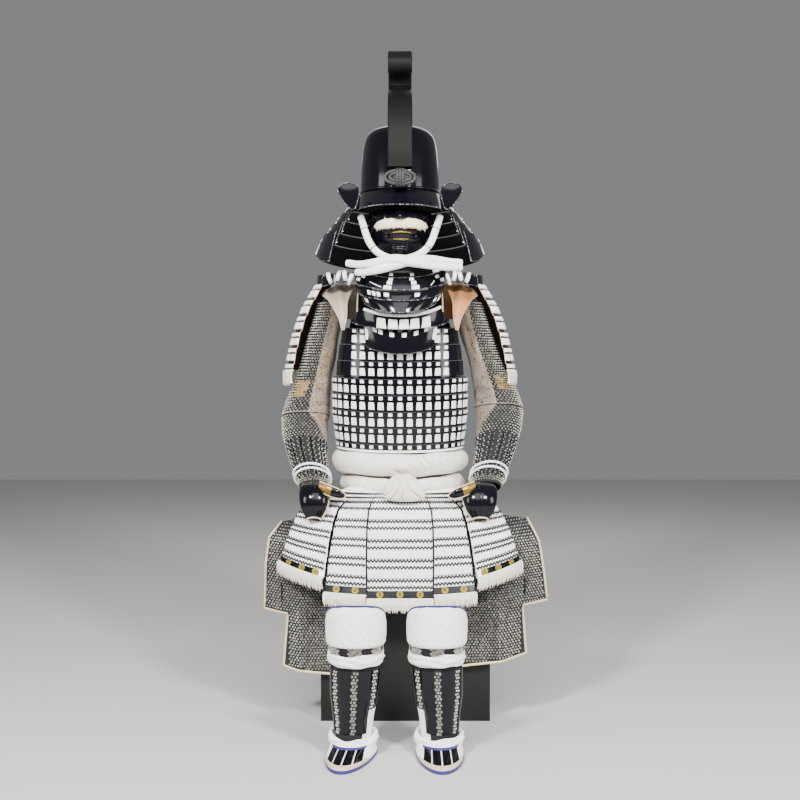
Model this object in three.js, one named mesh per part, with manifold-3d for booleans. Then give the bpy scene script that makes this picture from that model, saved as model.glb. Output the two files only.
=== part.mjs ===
// Samurai armour shown seated on its armour chest, with the plain post stand that carries it.
// Millimetres. +X is the viewer's right, -Y is the front and +Z is up.
// The origin is the middle of the chest's underside, on the floor.
import * as THREE from "three";
import { mergeVertices } from "three/addons/utils/BufferGeometryUtils.js";
import Module from "manifold-3d";

// ---- Driving dimensions -------------------------------------------------------------------

const PLATE = 2; // lacquered plate
const CLOTH = 2; // lined cloth
const PADDED = 9; // quilted knee pad
const FUR = 12; // fur trim, over its plate
const GAP = 0.4; // between pieces that touch

const CHEST = { width: 436, depth: 350, height: 404, lid: 50, board: 12, middleX: 14, middleY: 12 };
const POST = { width: 46, depth: 34, topZ: 1290, barWidth: 232, barZ: 1078, barHeight: 40 };

const WAIST_Z = 699; // hem of the cuirass
const ARMHOLE_Z = 889; // where the waist part ends and the chest part begins
const CHEST_TOP_Z = 1019;
const LAME = 42.5; // height of one cuirass lame
const LAME_STEP = 2; // how far a lame stands over the one above

const BOWL_Y = -15; // middle of the helmet, from front to back
const BOWL_BASE_Z = 1375;
const SHIN_Y = -420; // middle of the shin guards

// ---- Ways of making a piece -----------------------------------------------------------------

const radians = (degrees) => (degrees * Math.PI) / 180;
const mix = (a, b, share) => a + (b - a) * share;
const smooth = (share) => share * share * (3 - 2 * share);
const bump = (distance, width) => Math.exp(-((distance / width) ** 2));

// `count` + 1 evenly spaced values from `first` to `last`.
function steps(first, last, count) {
  return Array.from({ length: count + 1 }, (_, i) => mix(first, last, i / count));
}

// A table's value at `at`, read along its column `key` and joined by straight lines.
function read(table, key, column, at) {
  const rising = table[0][key] < table[table.length - 1][key];
  const rows = rising ? table : [...table].reverse();
  if (at <= rows[0][key]) return rows[0][column];
  const next = rows.findIndex((row) => row[key] >= at);
  if (next < 0) return rows[rows.length - 1][column];
  const [low, high] = [rows[next - 1], rows[next]];
  return mix(low[column], high[column], (at - low[key]) / (high[key] - low[key]));
}

// A point on a rounded ring, `angle` degrees from its front towards +X. `square` 2 is an
// ellipse, and more than 2 has fuller corners.
function around(angle, halfWidth, halfDepth, z, centreY = 0, centreX = 0, square = 2) {
  const across = Math.sin(radians(angle));
  const along = Math.cos(radians(angle));
  const full = (value) => Math.sign(value) * Math.abs(value) ** (2 / square);
  return new THREE.Vector3(centreX + halfWidth * full(across), centreY - halfDepth * full(along), z);
}

// A wall behind a grid of points. Rows run from top to bottom and columns from left to right,
// as seen from outside. Rows or ends that meet are joined, and `isOpen(row, column)` leaves a
// cell out, so that the wall has a hole there.
function wall(rows, thickness, isOpen = () => false) {
  const points = [];
  const numberOf = new Map();
  const number = (point) => {
    const key = point.toArray().map((value) => Math.round(value * 100)).join();
    if (!numberOf.has(key)) numberOf.set(key, points.push(point) - 1);
    return numberOf.get(key);
  };
  const grid = rows.map((row) => row.map(number));
  const faces = [];
  for (let i = 0; i + 1 < grid.length; i++) {
    for (let j = 0; j + 1 < grid[i].length; j++) {
      if (isOpen(i, j)) continue;
      const [a, b, c, d] = [grid[i][j], grid[i][j + 1], grid[i + 1][j + 1], grid[i + 1][j]];
      for (const face of [[a, d, c], [a, c, b]]) if (new Set(face).size === 3) faces.push(face);
    }
  }
  const normals = points.map(() => new THREE.Vector3());
  const edges = new Set();
  for (const [a, b, c] of faces) {
    const first = points[b].clone().sub(points[a]);
    const normal = first.cross(points[c].clone().sub(points[a]));
    for (const [from, to] of [[a, b], [b, c], [c, a]]) {
      normals[from].add(normal);
      edges.add(from + ">" + to);
    }
  }
  const count = points.length;
  const inner = points.map((p, i) => p.clone().addScaledVector(normals[i].normalize(), -thickness));
  const index = faces.flatMap(([a, b, c]) => [a, b, c, a + count, c + count, b + count]);
  for (const edge of edges) {
    const [from, to] = edge.split(">").map(Number);
    if (!edges.has(to + ">" + from)) {
      index.push(to, from, from + count, to, from + count, to + count);
    }
  }
  return geometryOf([...points, ...inner], index);
}

function geometryOf(points, index) {
  const geometry = new THREE.BufferGeometry().setFromPoints(points);
  geometry.setIndex(index);
  return geometry;
}

// A solid bounded by closed rings of points, given from top to bottom and from left through
// the front to the right, with a flat fan over each end.
function lump(rings) {
  const middle = (ring) => {
    const sum = ring.slice(1).reduce((total, p) => total.add(p), new THREE.Vector3());
    return sum.divideScalar(ring.length - 1);
  };
  const top = middle(rings[0]);
  const bottom = middle(rings[rings.length - 1]);
  const all = [rings[0].map(() => top), ...rings, rings[0].map(() => bottom)];
  const points = all.flat();
  const columns = rings[0].length;
  const index = [];
  for (let i = 0; i + 1 < all.length; i++) {
    for (let j = 0; j + 1 < columns; j++) {
      const a = i * columns + j;
      const [b, c, d] = [a + 1, a + 1 + columns, a + columns];
      if (i + 2 < all.length) index.push(a, d, c);
      if (i > 0) index.push(a, c, b);
    }
  }
  return merged(geometryOf(points, index));
}

function merged(geometry) {
  geometry.deleteAttribute("normal");
  geometry.deleteAttribute("uv");
  return mergeVertices(geometry, 1e-3);
}

// A round or flattened tube along a smooth curve through `points`.
function tube(points, halfWide, halfHigh, count, sides = 8, closed = false) {
  const curve = new THREE.CatmullRomCurve3(points, closed);
  const section = new THREE.Shape(
    steps(0, 360, sides).slice(0, -1).map((angle) => new THREE.Vector2(
      halfHigh * Math.cos(radians(angle)), halfWide * Math.sin(radians(angle)),
    )),
  );
  return new THREE.ExtrudeGeometry(section, { extrudePath: curve, steps: count });
}

const kernel = await Module();
kernel.setup();

function solidOf(geometry) {
  const clean = merged(geometry.clone());
  return new kernel.Manifold(new kernel.Mesh({
    numProp: 3,
    vertProperties: clean.attributes.position.array,
    triVerts: new Uint32Array(clean.index.array),
  }));
}

// Several closed geometries joined into one, less those in `cuts`.
function joined(geometries, cuts = []) {
  let solid = solidOf(geometries[0]);
  for (const geometry of geometries.slice(1)) solid = solid.add(solidOf(geometry));
  for (const geometry of cuts) solid = solid.subtract(solidOf(geometry));
  const mesh = solid.getMesh();
  const result = new THREE.BufferGeometry();
  result.setAttribute("position", new THREE.BufferAttribute(mesh.vertProperties, 3));
  result.setIndex(new THREE.BufferAttribute(mesh.triVerts, 1));
  return result;
}

function box(low, high) {
  const size = high.map((value, i) => value - low[i]);
  return new THREE.BoxGeometry(...size).translate(...low.map((value, i) => value + size[i] / 2));
}

// ---- Finishes -------------------------------------------------------------------------------

const finish = (color, roughness, metalness = 0) => ({ color, roughness, metalness });
const LACQUER = finish(0x14131c, 0.15);
const LACED = finish(0xd8d8d8, 0.7);
const WHITE_CLOTH = finish(0xf2f2ee, 0.9);
const BROCADE = finish(0xb7a894, 0.6);
const SASH_CLOTH = finish(0xe9dccb, 0.7);
const SATIN = finish(0x9a6a3c, 0.45);
const MAIL = finish(0x55524c, 0.5, 0.6);
const HAIR = finish(0xe8e0c8, 0.9);
const CHEST_BLACK = finish(0x22261f, 0.5);
const STAND_WOOD = finish(0x2b231d, 0.6);

const armour = new THREE.Group();

function add(name, geometry, look) {
  const mesh = new THREE.Mesh(geometry, new THREE.MeshStandardMaterial(look));
  mesh.name = name;
  armour.add(mesh);
  return mesh;
}

// ---- Stand: armour chest, post and head block -------------------------------------------------

function makeStand() {
  const { width, depth, height, lid, board, middleX, middleY } = CHEST;
  const [halfX, halfY, clear] = [width / 2, depth / 2, 0.5];
  const lidWall = 8;
  const bodyTop = height + lid - board - clear;
  const body = joined(
    [box([-halfX, -halfY, 0], [halfX, halfY, bodyTop])],
    [box([board - halfX, board - halfY, board], [halfX - board, halfY - board, bodyTop + board])],
  );
  add("chest_body", body, CHEST_BLACK).position.set(middleX, middleY, 0);

  // The lid is a cap whose rim comes down outside the body.
  const [inX, inY] = [halfX + clear, halfY + clear];
  const cap = joined(
    [box([-inX - lidWall, -inY - lidWall, height], [inX + lidWall, inY + lidWall, height + lid])],
    [box([-inX, -inY, height - lid], [inX, inY, height + lid - board])],
  );
  add("chest_lid", cap, CHEST_BLACK).position.set(middleX, middleY, 0);

  // One turned and boxed post: a foot on the lid, a shoulder bar for the cuirass's straps and a
  // rounded block inside the helmet.
  const [postX, postY] = [POST.width / 2, POST.depth / 2];
  const block = [
    { z: 1500, halfWidth: 30, halfDepth: 38 },
    { z: 1485, halfWidth: 58, halfDepth: 70 },
    { z: 1440, halfWidth: 74, halfDepth: 88 },
    { z: 1360, halfWidth: 74, halfDepth: 88 },
    { z: 1310, halfWidth: 60, halfDepth: 70 },
    { z: 1280, halfWidth: 36, halfDepth: 44 },
  ];
  const rings = block.map((row) =>
    steps(-180, 180, 16).map((angle) => around(angle, row.halfWidth, row.halfDepth, row.z, BOWL_Y / 2)));
  const post = joined([
    box([-postX, -postY, height + lid + GAP], [postX, postY, POST.topZ]),
    box([-POST.barWidth / 2, -postY, POST.barZ], [POST.barWidth / 2, postY, POST.barZ + POST.barHeight]),
    lump(rings),
  ]);
  add("stand_post", post, STAND_WOOD);
}

// ---- Helmet -----------------------------------------------------------------------------------

const BOWL = [
  { z: 1550, halfWidth: 0, halfDepth: 0 },
  { z: 1548, halfWidth: 40, halfDepth: 48 },
  { z: 1541, halfWidth: 68, halfDepth: 82 },
  { z: 1528, halfWidth: 84, halfDepth: 101 },
  { z: 1507, halfWidth: 93, halfDepth: 112 },
  { z: 1465, halfWidth: 100, halfDepth: 120 },
  { z: 1415, halfWidth: 104, halfDepth: 124 },
  { z: BOWL_BASE_Z, halfWidth: 105, halfDepth: 125 },
];

// Neck-guard lames, from the bowl down: width and height of each one's two edges at the sides,
// the angle from the front where it ends, and how much lower it hangs behind.
const NECK_LAMES = [
  { topWidth: 109, topZ: 1372, width: 137, z: 1335, from: 85, behind: 0 },
  { topWidth: 134, topZ: 1345, width: 160.5, z: 1309, from: 60, behind: 3 },
  { topWidth: 157.5, topZ: 1320, width: 183, z: 1280, from: 57, behind: 9 },
  { topWidth: 180, topZ: 1291, width: 205, z: 1254, from: 55, behind: 16 },
  { topWidth: 204, topZ: 1264, width: 226, z: 1214, from: 54, behind: 26 },
];

function makeHelmet() {
  const angles = steps(-180, 180, 20);
  const bowlRows = BOWL.map((row) =>
    angles.map((angle) => around(angle, row.halfWidth, row.halfDepth, row.z, BOWL_Y)));
  add("helmet_bowl", wall(bowlRows, PLATE), LACQUER);

  // The brim slopes down and forwards, and its front edge is nearly straight.
  const brimRows = [0, 0.5, 1].map((share) => steps(-82, 82, 14).map((angle) => {
    const inner = around(angle, 105, 125, BOWL_BASE_Z - PLATE - GAP, BOWL_Y);
    const outer = around(angle, 114, 170, 1325, BOWL_Y, 0, 2.5);
    return inner.lerp(outer, share);
  }));
  add("helmet_brim", wall(brimRows, PLATE), LACQUER);

  for (const [i, lame] of NECK_LAMES.entries()) {
    const rows = [0, 1].map((share) => steps(lame.from, 360 - lame.from, 18).map((angle) => {
      const width = mix(lame.topWidth, lame.width, share);
      const behind = Math.max(0, -Math.cos(radians(angle)));
      const front = bump(Math.abs(angle - 180) - (180 - lame.from), 22) * share * (i + 2) * 5;
      const lower = mix(i > 0 ? NECK_LAMES[i - 1].behind : 0, lame.behind, share);
      const z = mix(lame.topZ, lame.z, share) - lower * behind - front;
      return around(angle, width, width + 14, z, BOWL_Y + 4);
    }));
    add("neck_guard_" + (i + 1), wall(rows, PLATE), LACQUER);
  }

  // The ends of the neck guard turn back beside the brim as rounded ears.
  for (const [side, name] of [[-1, "turn_back_left"], [1, "turn_back_right"]]) {
    const ear = new THREE.Shape();
    ear.moveTo(120, 1322);
    ear.quadraticCurveTo(150, 1335, 160, 1372);
    ear.quadraticCurveTo(160, 1392, 140, 1394);
    ear.quadraticCurveTo(118, 1394, 112, 1376);
    ear.lineTo(114, 1340);
    ear.lineTo(120, 1322);
    const plate = new THREE.ExtrudeGeometry(ear, { depth: 3, bevelEnabled: false, curveSegments: 5 });
    plate.rotateX(Math.PI / 2).scale(side, 1, 1).translate(0, -113, 0);
    add(name, side < 0 ? turnedInsideOut(plate) : plate, LACQUER);
  }
}

// A mirrored geometry with its faces pointing out again.
function turnedInsideOut(geometry) {
  const result = merged(geometry);
  const index = result.index.array;
  for (let i = 0; i < index.length; i += 3) [index[i + 1], index[i + 2]] = [index[i + 2], index[i + 1]];
  return result;
}

// The crest is a thick slab whose side view is a fern frond: it rises from the front of the bowl,
// leans back over it and curls forward again into a round bud.
const FROND = [
  { y: -172, z: 1420, half: 20 },
  { y: -170, z: 1470, half: 23 },
  { y: -156, z: 1530, half: 26 },
  { y: -112, z: 1588, half: 27 },
  { y: -40, z: 1620, half: 26 },
  { y: 30, z: 1640, half: 25 },
  { y: 68, z: 1676, half: 23 },
  { y: 48, z: 1715, half: 21 },
  { y: -10, z: 1728, half: 20 },
  { y: -64, z: 1724, half: 20 },
  { y: -92, z: 1704, half: 24 },
];
const FROND_WIDTH = 63;

function makeCrest() {
  const line = new THREE.CatmullRomCurve3(FROND.map((row) => new THREE.Vector3(0, row.y, row.z)));
  const half = new THREE.CatmullRomCurve3(FROND.map((row, i) => new THREE.Vector3(i, row.half, 0)));
  const edge = (side) => steps(0, 1, 26).map((at) => {
    const tangent = line.getTangent(at);
    const middle = line.getPoint(at);
    const reach = side * half.getPoint(at).y;
    return new THREE.Vector2(middle.y - tangent.z * reach, middle.z + tangent.y * reach);
  });
  const end = FROND[FROND.length - 1];
  const last = line.getTangent(1);
  const bud = steps(-60, 60, 4).map((angle) => {
    const turned = Math.atan2(last.z, last.y) + radians(angle);
    return new THREE.Vector2(end.y + end.half * Math.cos(turned), end.z + end.half * Math.sin(turned));
  });
  const outline = new THREE.Shape([...edge(-1), ...bud, ...edge(1).reverse()]);
  const slab = new THREE.ExtrudeGeometry(outline, { depth: FROND_WIDTH, bevelEnabled: false });
  // The outline is drawn across and up, and is stood up to face sideways.
  slab.rotateX(Math.PI / 2).rotateZ(Math.PI / 2).translate(-FROND_WIDTH / 2, 0, 0);
  add("crest", slab, LACQUER);

  const knotRows = steps(0, 180, 6).map((tilt) => steps(-180, 180, 12).map((angle) => around(
    angle, 40 * Math.sin(radians(tilt)) ** 0.6, 13 * Math.sin(radians(tilt)) ** 0.6,
    1395 + 20 * Math.cos(radians(tilt)), -169,
  )));
  add("crest_knot", lump(knotRows.slice(1, -1)), LACQUER);
}

// ---- Mask, throat guard and chin cord ---------------------------------------------------------

const FACE = [
  { z: 1320, halfWidth: 84, halfDepth: 98 },
  { z: 1296, halfWidth: 83, halfDepth: 102 },
  { z: 1262, halfWidth: 77, halfDepth: 105 },
  { z: 1232, halfWidth: 66, halfDepth: 106 },
  { z: 1212, halfWidth: 55, halfDepth: 103 },
  { z: 1200, halfWidth: 42, halfDepth: 94 },
  { z: 1193, halfWidth: 26, halfDepth: 76 },
];
const FACE_Y = -44;
const NOSE_TIP_Z = 1297;

// A point of the mask, `out` in front of its face.
function faceAt(angle, z, out = 0) {
  const width = read(FACE, "z", "halfWidth", z);
  const depth = read(FACE, "z", "halfDepth", z);
  const point = around(angle, width + out, depth + out, z, FACE_Y);
  const bridge = z > NOSE_TIP_Z ? bump(z - NOSE_TIP_Z, 30) : bump(z - NOSE_TIP_Z, 8);
  const lips = bump(z - 1247, 22) * bump(point.x, 48) * 6;
  const chin = bump(z - 1212, 12) * bump(point.x, 30) * 7;
  const cheek = bump(z - 1290, 22) * bump(Math.abs(point.x) - 50, 18) * 5;
  point.y -= 24 * bridge * bump(point.x, 15) + lips + chin + cheek;
  return point;
}

// Throat lames from the top: half width, front, height of the lower edge at the middle, how
// far the ends rise, and how far round each one reaches.
const THROAT_LAMES = [
  { topWidth: 104, width: 120, topY: -168, frontY: -184, topZ: 1172, z: 1139, rise: 46, reach: 74 },
  { topWidth: 118, width: 134, topY: -181, frontY: -198, topZ: 1139, z: 1108, rise: 46, reach: 74 },
  { topWidth: 130, width: 122, topY: -196, frontY: -208, topZ: 1103, z: 1079, rise: 46, reach: 64 },
  { topWidth: 118, width: 104, topY: -205, frontY: -216, topZ: 1079, z: 1050, rise: 52, reach: 60 },
];
const THROAT_Y = -55;

function makeMask() {
  const angles = [-86, -68, -50, -30, -20, -10, 0, 10, 20, 30, 50, 68, 86];
  const heights = [1320, 1308, 1297, 1288, 1276, 1262, 1247, 1232, 1220, 1210, 1200, 1193];
  const rows = heights.map((z) => angles.map((angle) => faceAt(angle, z)));
  const isMouth = (row, column) => row >= 5 && row <= 6 && column >= 3 && column <= 8;
  add("mask", wall(rows, PLATE, isMouth), LACQUER);

  const hair = [1293, 1284, 1272, 1261].map((z, i) =>
    steps(-62, 62, 10).map((angle) => faceAt(angle, z - 5 * bump(angle, 30) * (i / 3), 13)));
  add("moustache", wall(hair, 8), HAIR);

  for (const [name, first] of [["throat_upper", 0], ["throat_lower", 2]]) {
    const lames = THROAT_LAMES.slice(first, first + 2);
    const reach = Math.max(...lames.map((lame) => lame.reach));
    const throatRow = (lame, share) => steps(-reach, reach, 12).map((angle) => {
      const z = mix(lame.topZ, lame.z, share) + lame.rise * (1 - Math.cos(radians(angle)));
      const front = mix(lame.topY, lame.frontY, share);
      return around(angle, mix(lame.topWidth, lame.width, share), THROAT_Y - front, z, THROAT_Y);
    });
    const throatRows = lames.flatMap((lame) => [throatRow(lame, 0), throatRow(lame, 1)]);
    for (const row of throatRows.slice(2)) for (const point of row) point.z -= GAP * 2;
    add(name, wall(throatRows, PLATE), LACQUER);
  }
}

const CHIN_CORD = [
  [-103, -78, 1308], [-96, -112, 1284], [-88, -136, 1256], [-76, -156, 1228], [-56, -172, 1204],
  [-28, -182, 1190], [0, -185, 1187], [28, -182, 1191], [58, -172, 1206], [78, -156, 1230],
  [89, -136, 1258], [98, -112, 1285], [105, -78, 1308],
];
const CHIN_BOW = [
  [-140, -168, 1176], [-105, -188, 1160], [-60, -204, 1163], [-10, -212, 1168],
  [40, -212, 1176], [80, -206, 1178], [120, -192, 1172], [158, -172, 1170],
];

function makeChinCord() {
  const route = (rows) => rows.map((row) => new THREE.Vector3(...row));
  add("chin_cord", tube(route(CHIN_CORD), 8, 7, 18, 6), WHITE_CLOTH);
  add("chin_bow", tube(route(CHIN_BOW), 13, 17, 14), WHITE_CLOTH);
}

// ---- Collar ---------------------------------------------------------------------------------

function makeCollar() {
  const plates = [
    {
      name: "collar_plate", halfWidth: 152, frontY: -174, topZ: 1043, z: 1008,
      rise: 40, lowRise: 22, reach: 57,
    },
    {
      name: "collar_crescent", halfWidth: 146, frontY: -157, topZ: 1000, z: 945,
      rise: 24, lowRise: 36, reach: 36,
    },
  ];
  const middleY = -20;
  for (const plate of plates) {
    const rows = steps(0, 1, 2).map((share) => steps(-plate.reach, plate.reach, 12).map((angle) => {
      const fromMiddle = (1 - Math.cos(radians(angle))) / (1 - Math.cos(radians(plate.reach)));
      const z = mix(plate.topZ, plate.z, share) + mix(plate.rise, plate.lowRise, share) * fromMiddle;
      return around(angle, plate.halfWidth, middleY - plate.frontY, z, middleY);
    }));
    add(plate.name, wall(rows, PLATE), LACQUER);
  }
}

// ---- Cuirass ----------------------------------------------------------------------------------

const BODY = [
  { z: 1046, halfWidth: 150, halfDepth: 120 },
  { z: CHEST_TOP_Z, halfWidth: 158, halfDepth: 125 },
  { z: 950, halfWidth: 172, halfDepth: 133 },
  { z: ARMHOLE_Z, halfWidth: 179, halfDepth: 137 },
  { z: 800, halfWidth: 180, halfDepth: 136 },
  { z: WAIST_Z, halfWidth: 168, halfDepth: 126 },
];
const BODY_SQUARE = 2.3;
const SAG = 7; // how much lower the lames hang at the middle of the front

function bodyAt(angle, z, out = 0) {
  const width = read(BODY, "z", "halfWidth", z) + out;
  const depth = read(BODY, "z", "halfDepth", z) + out;
  const point = around(angle, width, depth, z, 0, 0, BODY_SQUARE);
  point.z -= SAG * Math.max(0, Math.cos(radians(angle))) ** 2;
  return point;
}

// Each lame stands out at its top edge over the lame above it and leans in below.
function lameRows(top, bottom, angles) {
  const rows = [];
  for (let z = top; z > bottom + 5; z -= LAME) {
    rows.push(angles.map((angle) => bodyAt(angle, z, LAME_STEP)));
    rows.push(angles.map((angle) => bodyAt(angle, Math.max(z - LAME, bottom))));
  }
  return rows;
}

const STRAP = [
  { y: 121, z: 1049 }, { y: 108, z: 1088 }, { y: 70, z: 1122 }, { y: 10, z: 1133 },
  { y: -58, z: 1113 }, { y: -98, z: 1068 }, { y: -114, z: 1022 },
];

function makeCuirass() {
  const seam = 0.3;
  const waist = { top: ARMHOLE_Z - 0.5, bottom: WAIST_Z, reach: 90 - seam };
  const chest = { bottom: ARMHOLE_Z + GAP };
  const parts = [
    { ...waist, name: "cuirass_front_waist", middle: 0, cells: 12 },
    { ...waist, name: "cuirass_back_waist", middle: 180, cells: 10 },
    { ...chest, name: "cuirass_front_chest", top: CHEST_TOP_Z, middle: 0, reach: 70, cells: 10 },
    { ...chest, name: "cuirass_back_chest", top: 1046, middle: 180, reach: 60, cells: 8 },
  ];
  for (const part of parts) {
    const angles = steps(part.middle - part.reach, part.middle + part.reach, part.cells);
    add(part.name, wall(lameRows(part.top, part.bottom, angles), PLATE), LACED);
  }
  for (const [side, name] of [[-1, "shoulder_strap_left"], [1, "shoulder_strap_right"]]) {
    const inner = 72;
    const outer = 112;
    const across = side < 0 ? [-outer, -inner] : [inner, outer];
    const rows = STRAP.map((row) => across.map((x) => new THREE.Vector3(x, row.y, row.z)));
    add(name, wall(rows, 3), LACQUER);
  }
}

// ---- Sash -------------------------------------------------------------------------------------

function makeSash() {
  const rolls = [
    { name: "sash_upper", width: 160, depth: 126, z: 664, thick: 25, high: 31, middleX: 0 },
    { name: "sash_lower", width: 145, depth: 129, z: 605.5, thick: 24, high: 26, middleX: 7 },
  ];
  for (const roll of rolls) {
    const route = steps(0, 360, 20).slice(0, -1).map((angle) => {
      const sag = SAG * Math.max(0, Math.cos(radians(angle))) ** 2;
      return around(angle, roll.width, roll.depth, roll.z - sag, 0, roll.middleX);
    });
    add(roll.name, tube(route, roll.thick, roll.high, 24, 8, true), SASH_CLOTH);
  }
  const knot = steps(15, 165, 6).map((tilt) => {
    const girth = Math.sin(radians(tilt)) ** 0.8;
    const z = 609 + 44 * Math.cos(radians(tilt));
    return steps(-180, 180, 14).map((angle) => around(angle, 58 * girth, 22 * girth, z, -186, 14, 2.2));
  });
  add("sash_knot", lump(knot), SASH_CLOTH);
}

// ---- Skirt of tassets -------------------------------------------------------------------------

// The skirt's bell, as a share of the way down: half width, reach in front, reach behind.
const BELL = [
  { share: 0, side: 232, front: 169, back: 150 },
  { share: 0.12, side: 270, front: 184, back: 176 },
  { share: 0.3, side: 290, front: 206, back: 200 },
  { share: 0.6, side: 311, front: 238, back: 228 },
  { share: 1, side: 331, front: 275, back: 262 },
];
const BELL_SQUARE = 3.4;
const SKIRT_TOP_Z = 571;
const SKIRT_LAMES = 5;
const FUR_REACH = 37;

// Tassets: where each one's two sides lie at its top and foot, as shares of the bell's half
// width to the right of the middle, and the heights of the two ends of its lower edge.
const TASSETS = [
  { name: "tasset_front", top: [-0.3, 0.3], foot: [-0.245, 0.245], endZ: [337, 337] },
  { name: "tasset_front_left", top: [-0.58, -0.31], foot: [-0.565, -0.252], endZ: [352, 346] },
  { name: "tasset_front_right", top: [0.31, 0.58], foot: [0.252, 0.565], endZ: [346, 352] },
  { name: "tasset_side_left", top: [-0.925, -0.59], foot: [-0.925, -0.573], endZ: [418, 388] },
  { name: "tasset_side_right", top: [0.59, 0.925], foot: [0.573, 0.925], endZ: [388, 418] },
  { name: "tasset_back_left", top: [-0.02, -0.62], foot: [-0.02, -0.6], endZ: [388, 396], behind: true },
  { name: "tasset_back_right", top: [0.62, 0.02], foot: [0.6, 0.02], endZ: [396, 388], behind: true },
];

// A point of the skirt, `sideways` half widths from its middle and `share` of the way down.
function skirtAt(sideways, share, bottomZ, behind, out = 0) {
  const turn = Math.asin(Math.abs(sideways) ** (BELL_SQUARE / 2)) * Math.sign(sideways);
  const angle = THREE.MathUtils.radToDeg(behind ? Math.PI - turn : turn);
  const width = read(BELL, "share", "side", share) + out;
  const depth = read(BELL, "share", behind ? "back" : "front", share) + out;
  return around(angle, width, depth, mix(SKIRT_TOP_Z, bottomZ, share), 0, 0, BELL_SQUARE);
}

function makeTassets() {
  for (const tasset of TASSETS) {
    const row = (share, out, drop = 0) => steps(0, 1, 4).map((across) => {
      const sideways = mix(mix(...tasset.top, across), mix(...tasset.foot, across), share);
      const point = skirtAt(sideways, share, mix(...tasset.endZ, across), tasset.behind, out);
      point.z -= drop;
      return point;
    });
    const rows = [];
    for (let lame = 0; lame < SKIRT_LAMES; lame++) {
      rows.push(row(lame / SKIRT_LAMES, LAME_STEP), row((lame + 1) / SKIRT_LAMES, 0));
    }
    // The fur trim is a thick band below the last lame.
    const fur = [row(1, FUR - 2, 2), row(1, FUR - 2, FUR_REACH - 6), row(1, FUR / 2 - 2, FUR_REACH)];
    add(tasset.name, wall([...rows, ...fur], PLATE), LACED);
  }
}

// ---- Thigh apron ------------------------------------------------------------------------------

// The two panels of the apron, from the band down: height at the outer edge, how much lower the
// inner edge is, and both edges' distance from the middle.
const APRON = {
  left: [
    { z: 562, lower: 0, inner: 2, outer: 150 },
    { z: 530, lower: 0, inner: 12, outer: 215 },
    { z: 506, lower: 0, inner: 24, outer: 312 },
    { z: 468, lower: 2, inner: 34, outer: 342 },
    { z: 400, lower: 8, inner: 42, outer: 352 },
    { z: 279, lower: 24, inner: 50, outer: 356 },
    { z: 277, lower: 24, inner: 50, outer: 289 },
    { z: 210, lower: 26, inner: 56, outer: 295 },
    { z: 141, lower: 26, inner: 66, outer: 301 },
  ],
  right: [
    { z: 562, lower: 0, inner: 2, outer: 150 },
    { z: 534, lower: 0, inner: 12, outer: 228 },
    { z: 510, lower: 0, inner: 24, outer: 340 },
    { z: 453, lower: 4, inner: 34, outer: 367 },
    { z: 380, lower: 10, inner: 42, outer: 380 },
    { z: 296, lower: 22, inner: 50, outer: 391 },
    { z: 294, lower: 22, inner: 50, outer: 319 },
    { z: 230, lower: 26, inner: 56, outer: 324 },
    { z: 167, lower: 28, inner: 66, outer: 329 },
  ],
};
const APRON_CORNER = 254; // where the apron turns back past the chest's front corners

// The apron lies just before the chest, and leans back to the waist above it.
function apronAt(x, z) {
  const above = smooth(Math.min(1, Math.max(0, (z - 462) / 90)));
  const beside = Math.max(0, (Math.abs(x) - APRON_CORNER) / 102) ** 1.1 * 90;
  const round = 90 * (x / 300) ** 4;
  return new THREE.Vector3(x, mix(beside - 182, round - 128, above), z);
}

function makeApron() {
  for (const [name, rows] of Object.entries(APRON)) {
    const side = name === "left" ? -1 : 1;
    const grid = rows.map((row) => {
      const across = steps(side * row.inner, side * row.outer, 7);
      if (side < 0) across.reverse();
      return across.map((x) => {
        const share = (row.outer - Math.abs(x)) / (row.outer - row.inner);
        return apronAt(x, row.z - row.lower * share);
      });
    });
    add("thigh_apron_" + name, wall(grid, CLOTH), MAIL);
  }
}

// ---- Shoulder shields -------------------------------------------------------------------------

// Outer line of a shield from its crown down, and its fur trim at the foot.
const SHIELD = [
  { x: 160, z: 1152 }, { x: 194, z: 1160 }, { x: 223, z: 1158 }, { x: 224, z: 1134 }, { x: 243, z: 1102 },
  { x: 261, z: 1070 }, { x: 274, z: 1038 }, { x: 286, z: 1000 }, { x: 298, z: 950 }, { x: 306, z: 908 },
];
const SHIELD_CURVE = 112;

function makeShields() {
  for (const [side, name] of [[-1, "shoulder_shield_left"], [1, "shoulder_shield_right"]]) {
    const fur = [{ x: 319, z: 903 }, { x: 321, z: 872 }, { x: 313, z: 864 }];
    const rows = [...SHIELD, ...fur].map((row) => steps(-36, 44, 6).map((angle) => {
      const turn = side < 0 ? -angle : angle;
      const x = row.x - SHIELD_CURVE * (1 - Math.cos(radians(turn)));
      return new THREE.Vector3(side * x, 6 - side * SHIELD_CURVE * Math.sin(radians(-turn)), row.z);
    }));
    add(name, wall(rows, PLATE), LACED);
  }
}

// ---- Sleeves ----------------------------------------------------------------------------------

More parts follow.
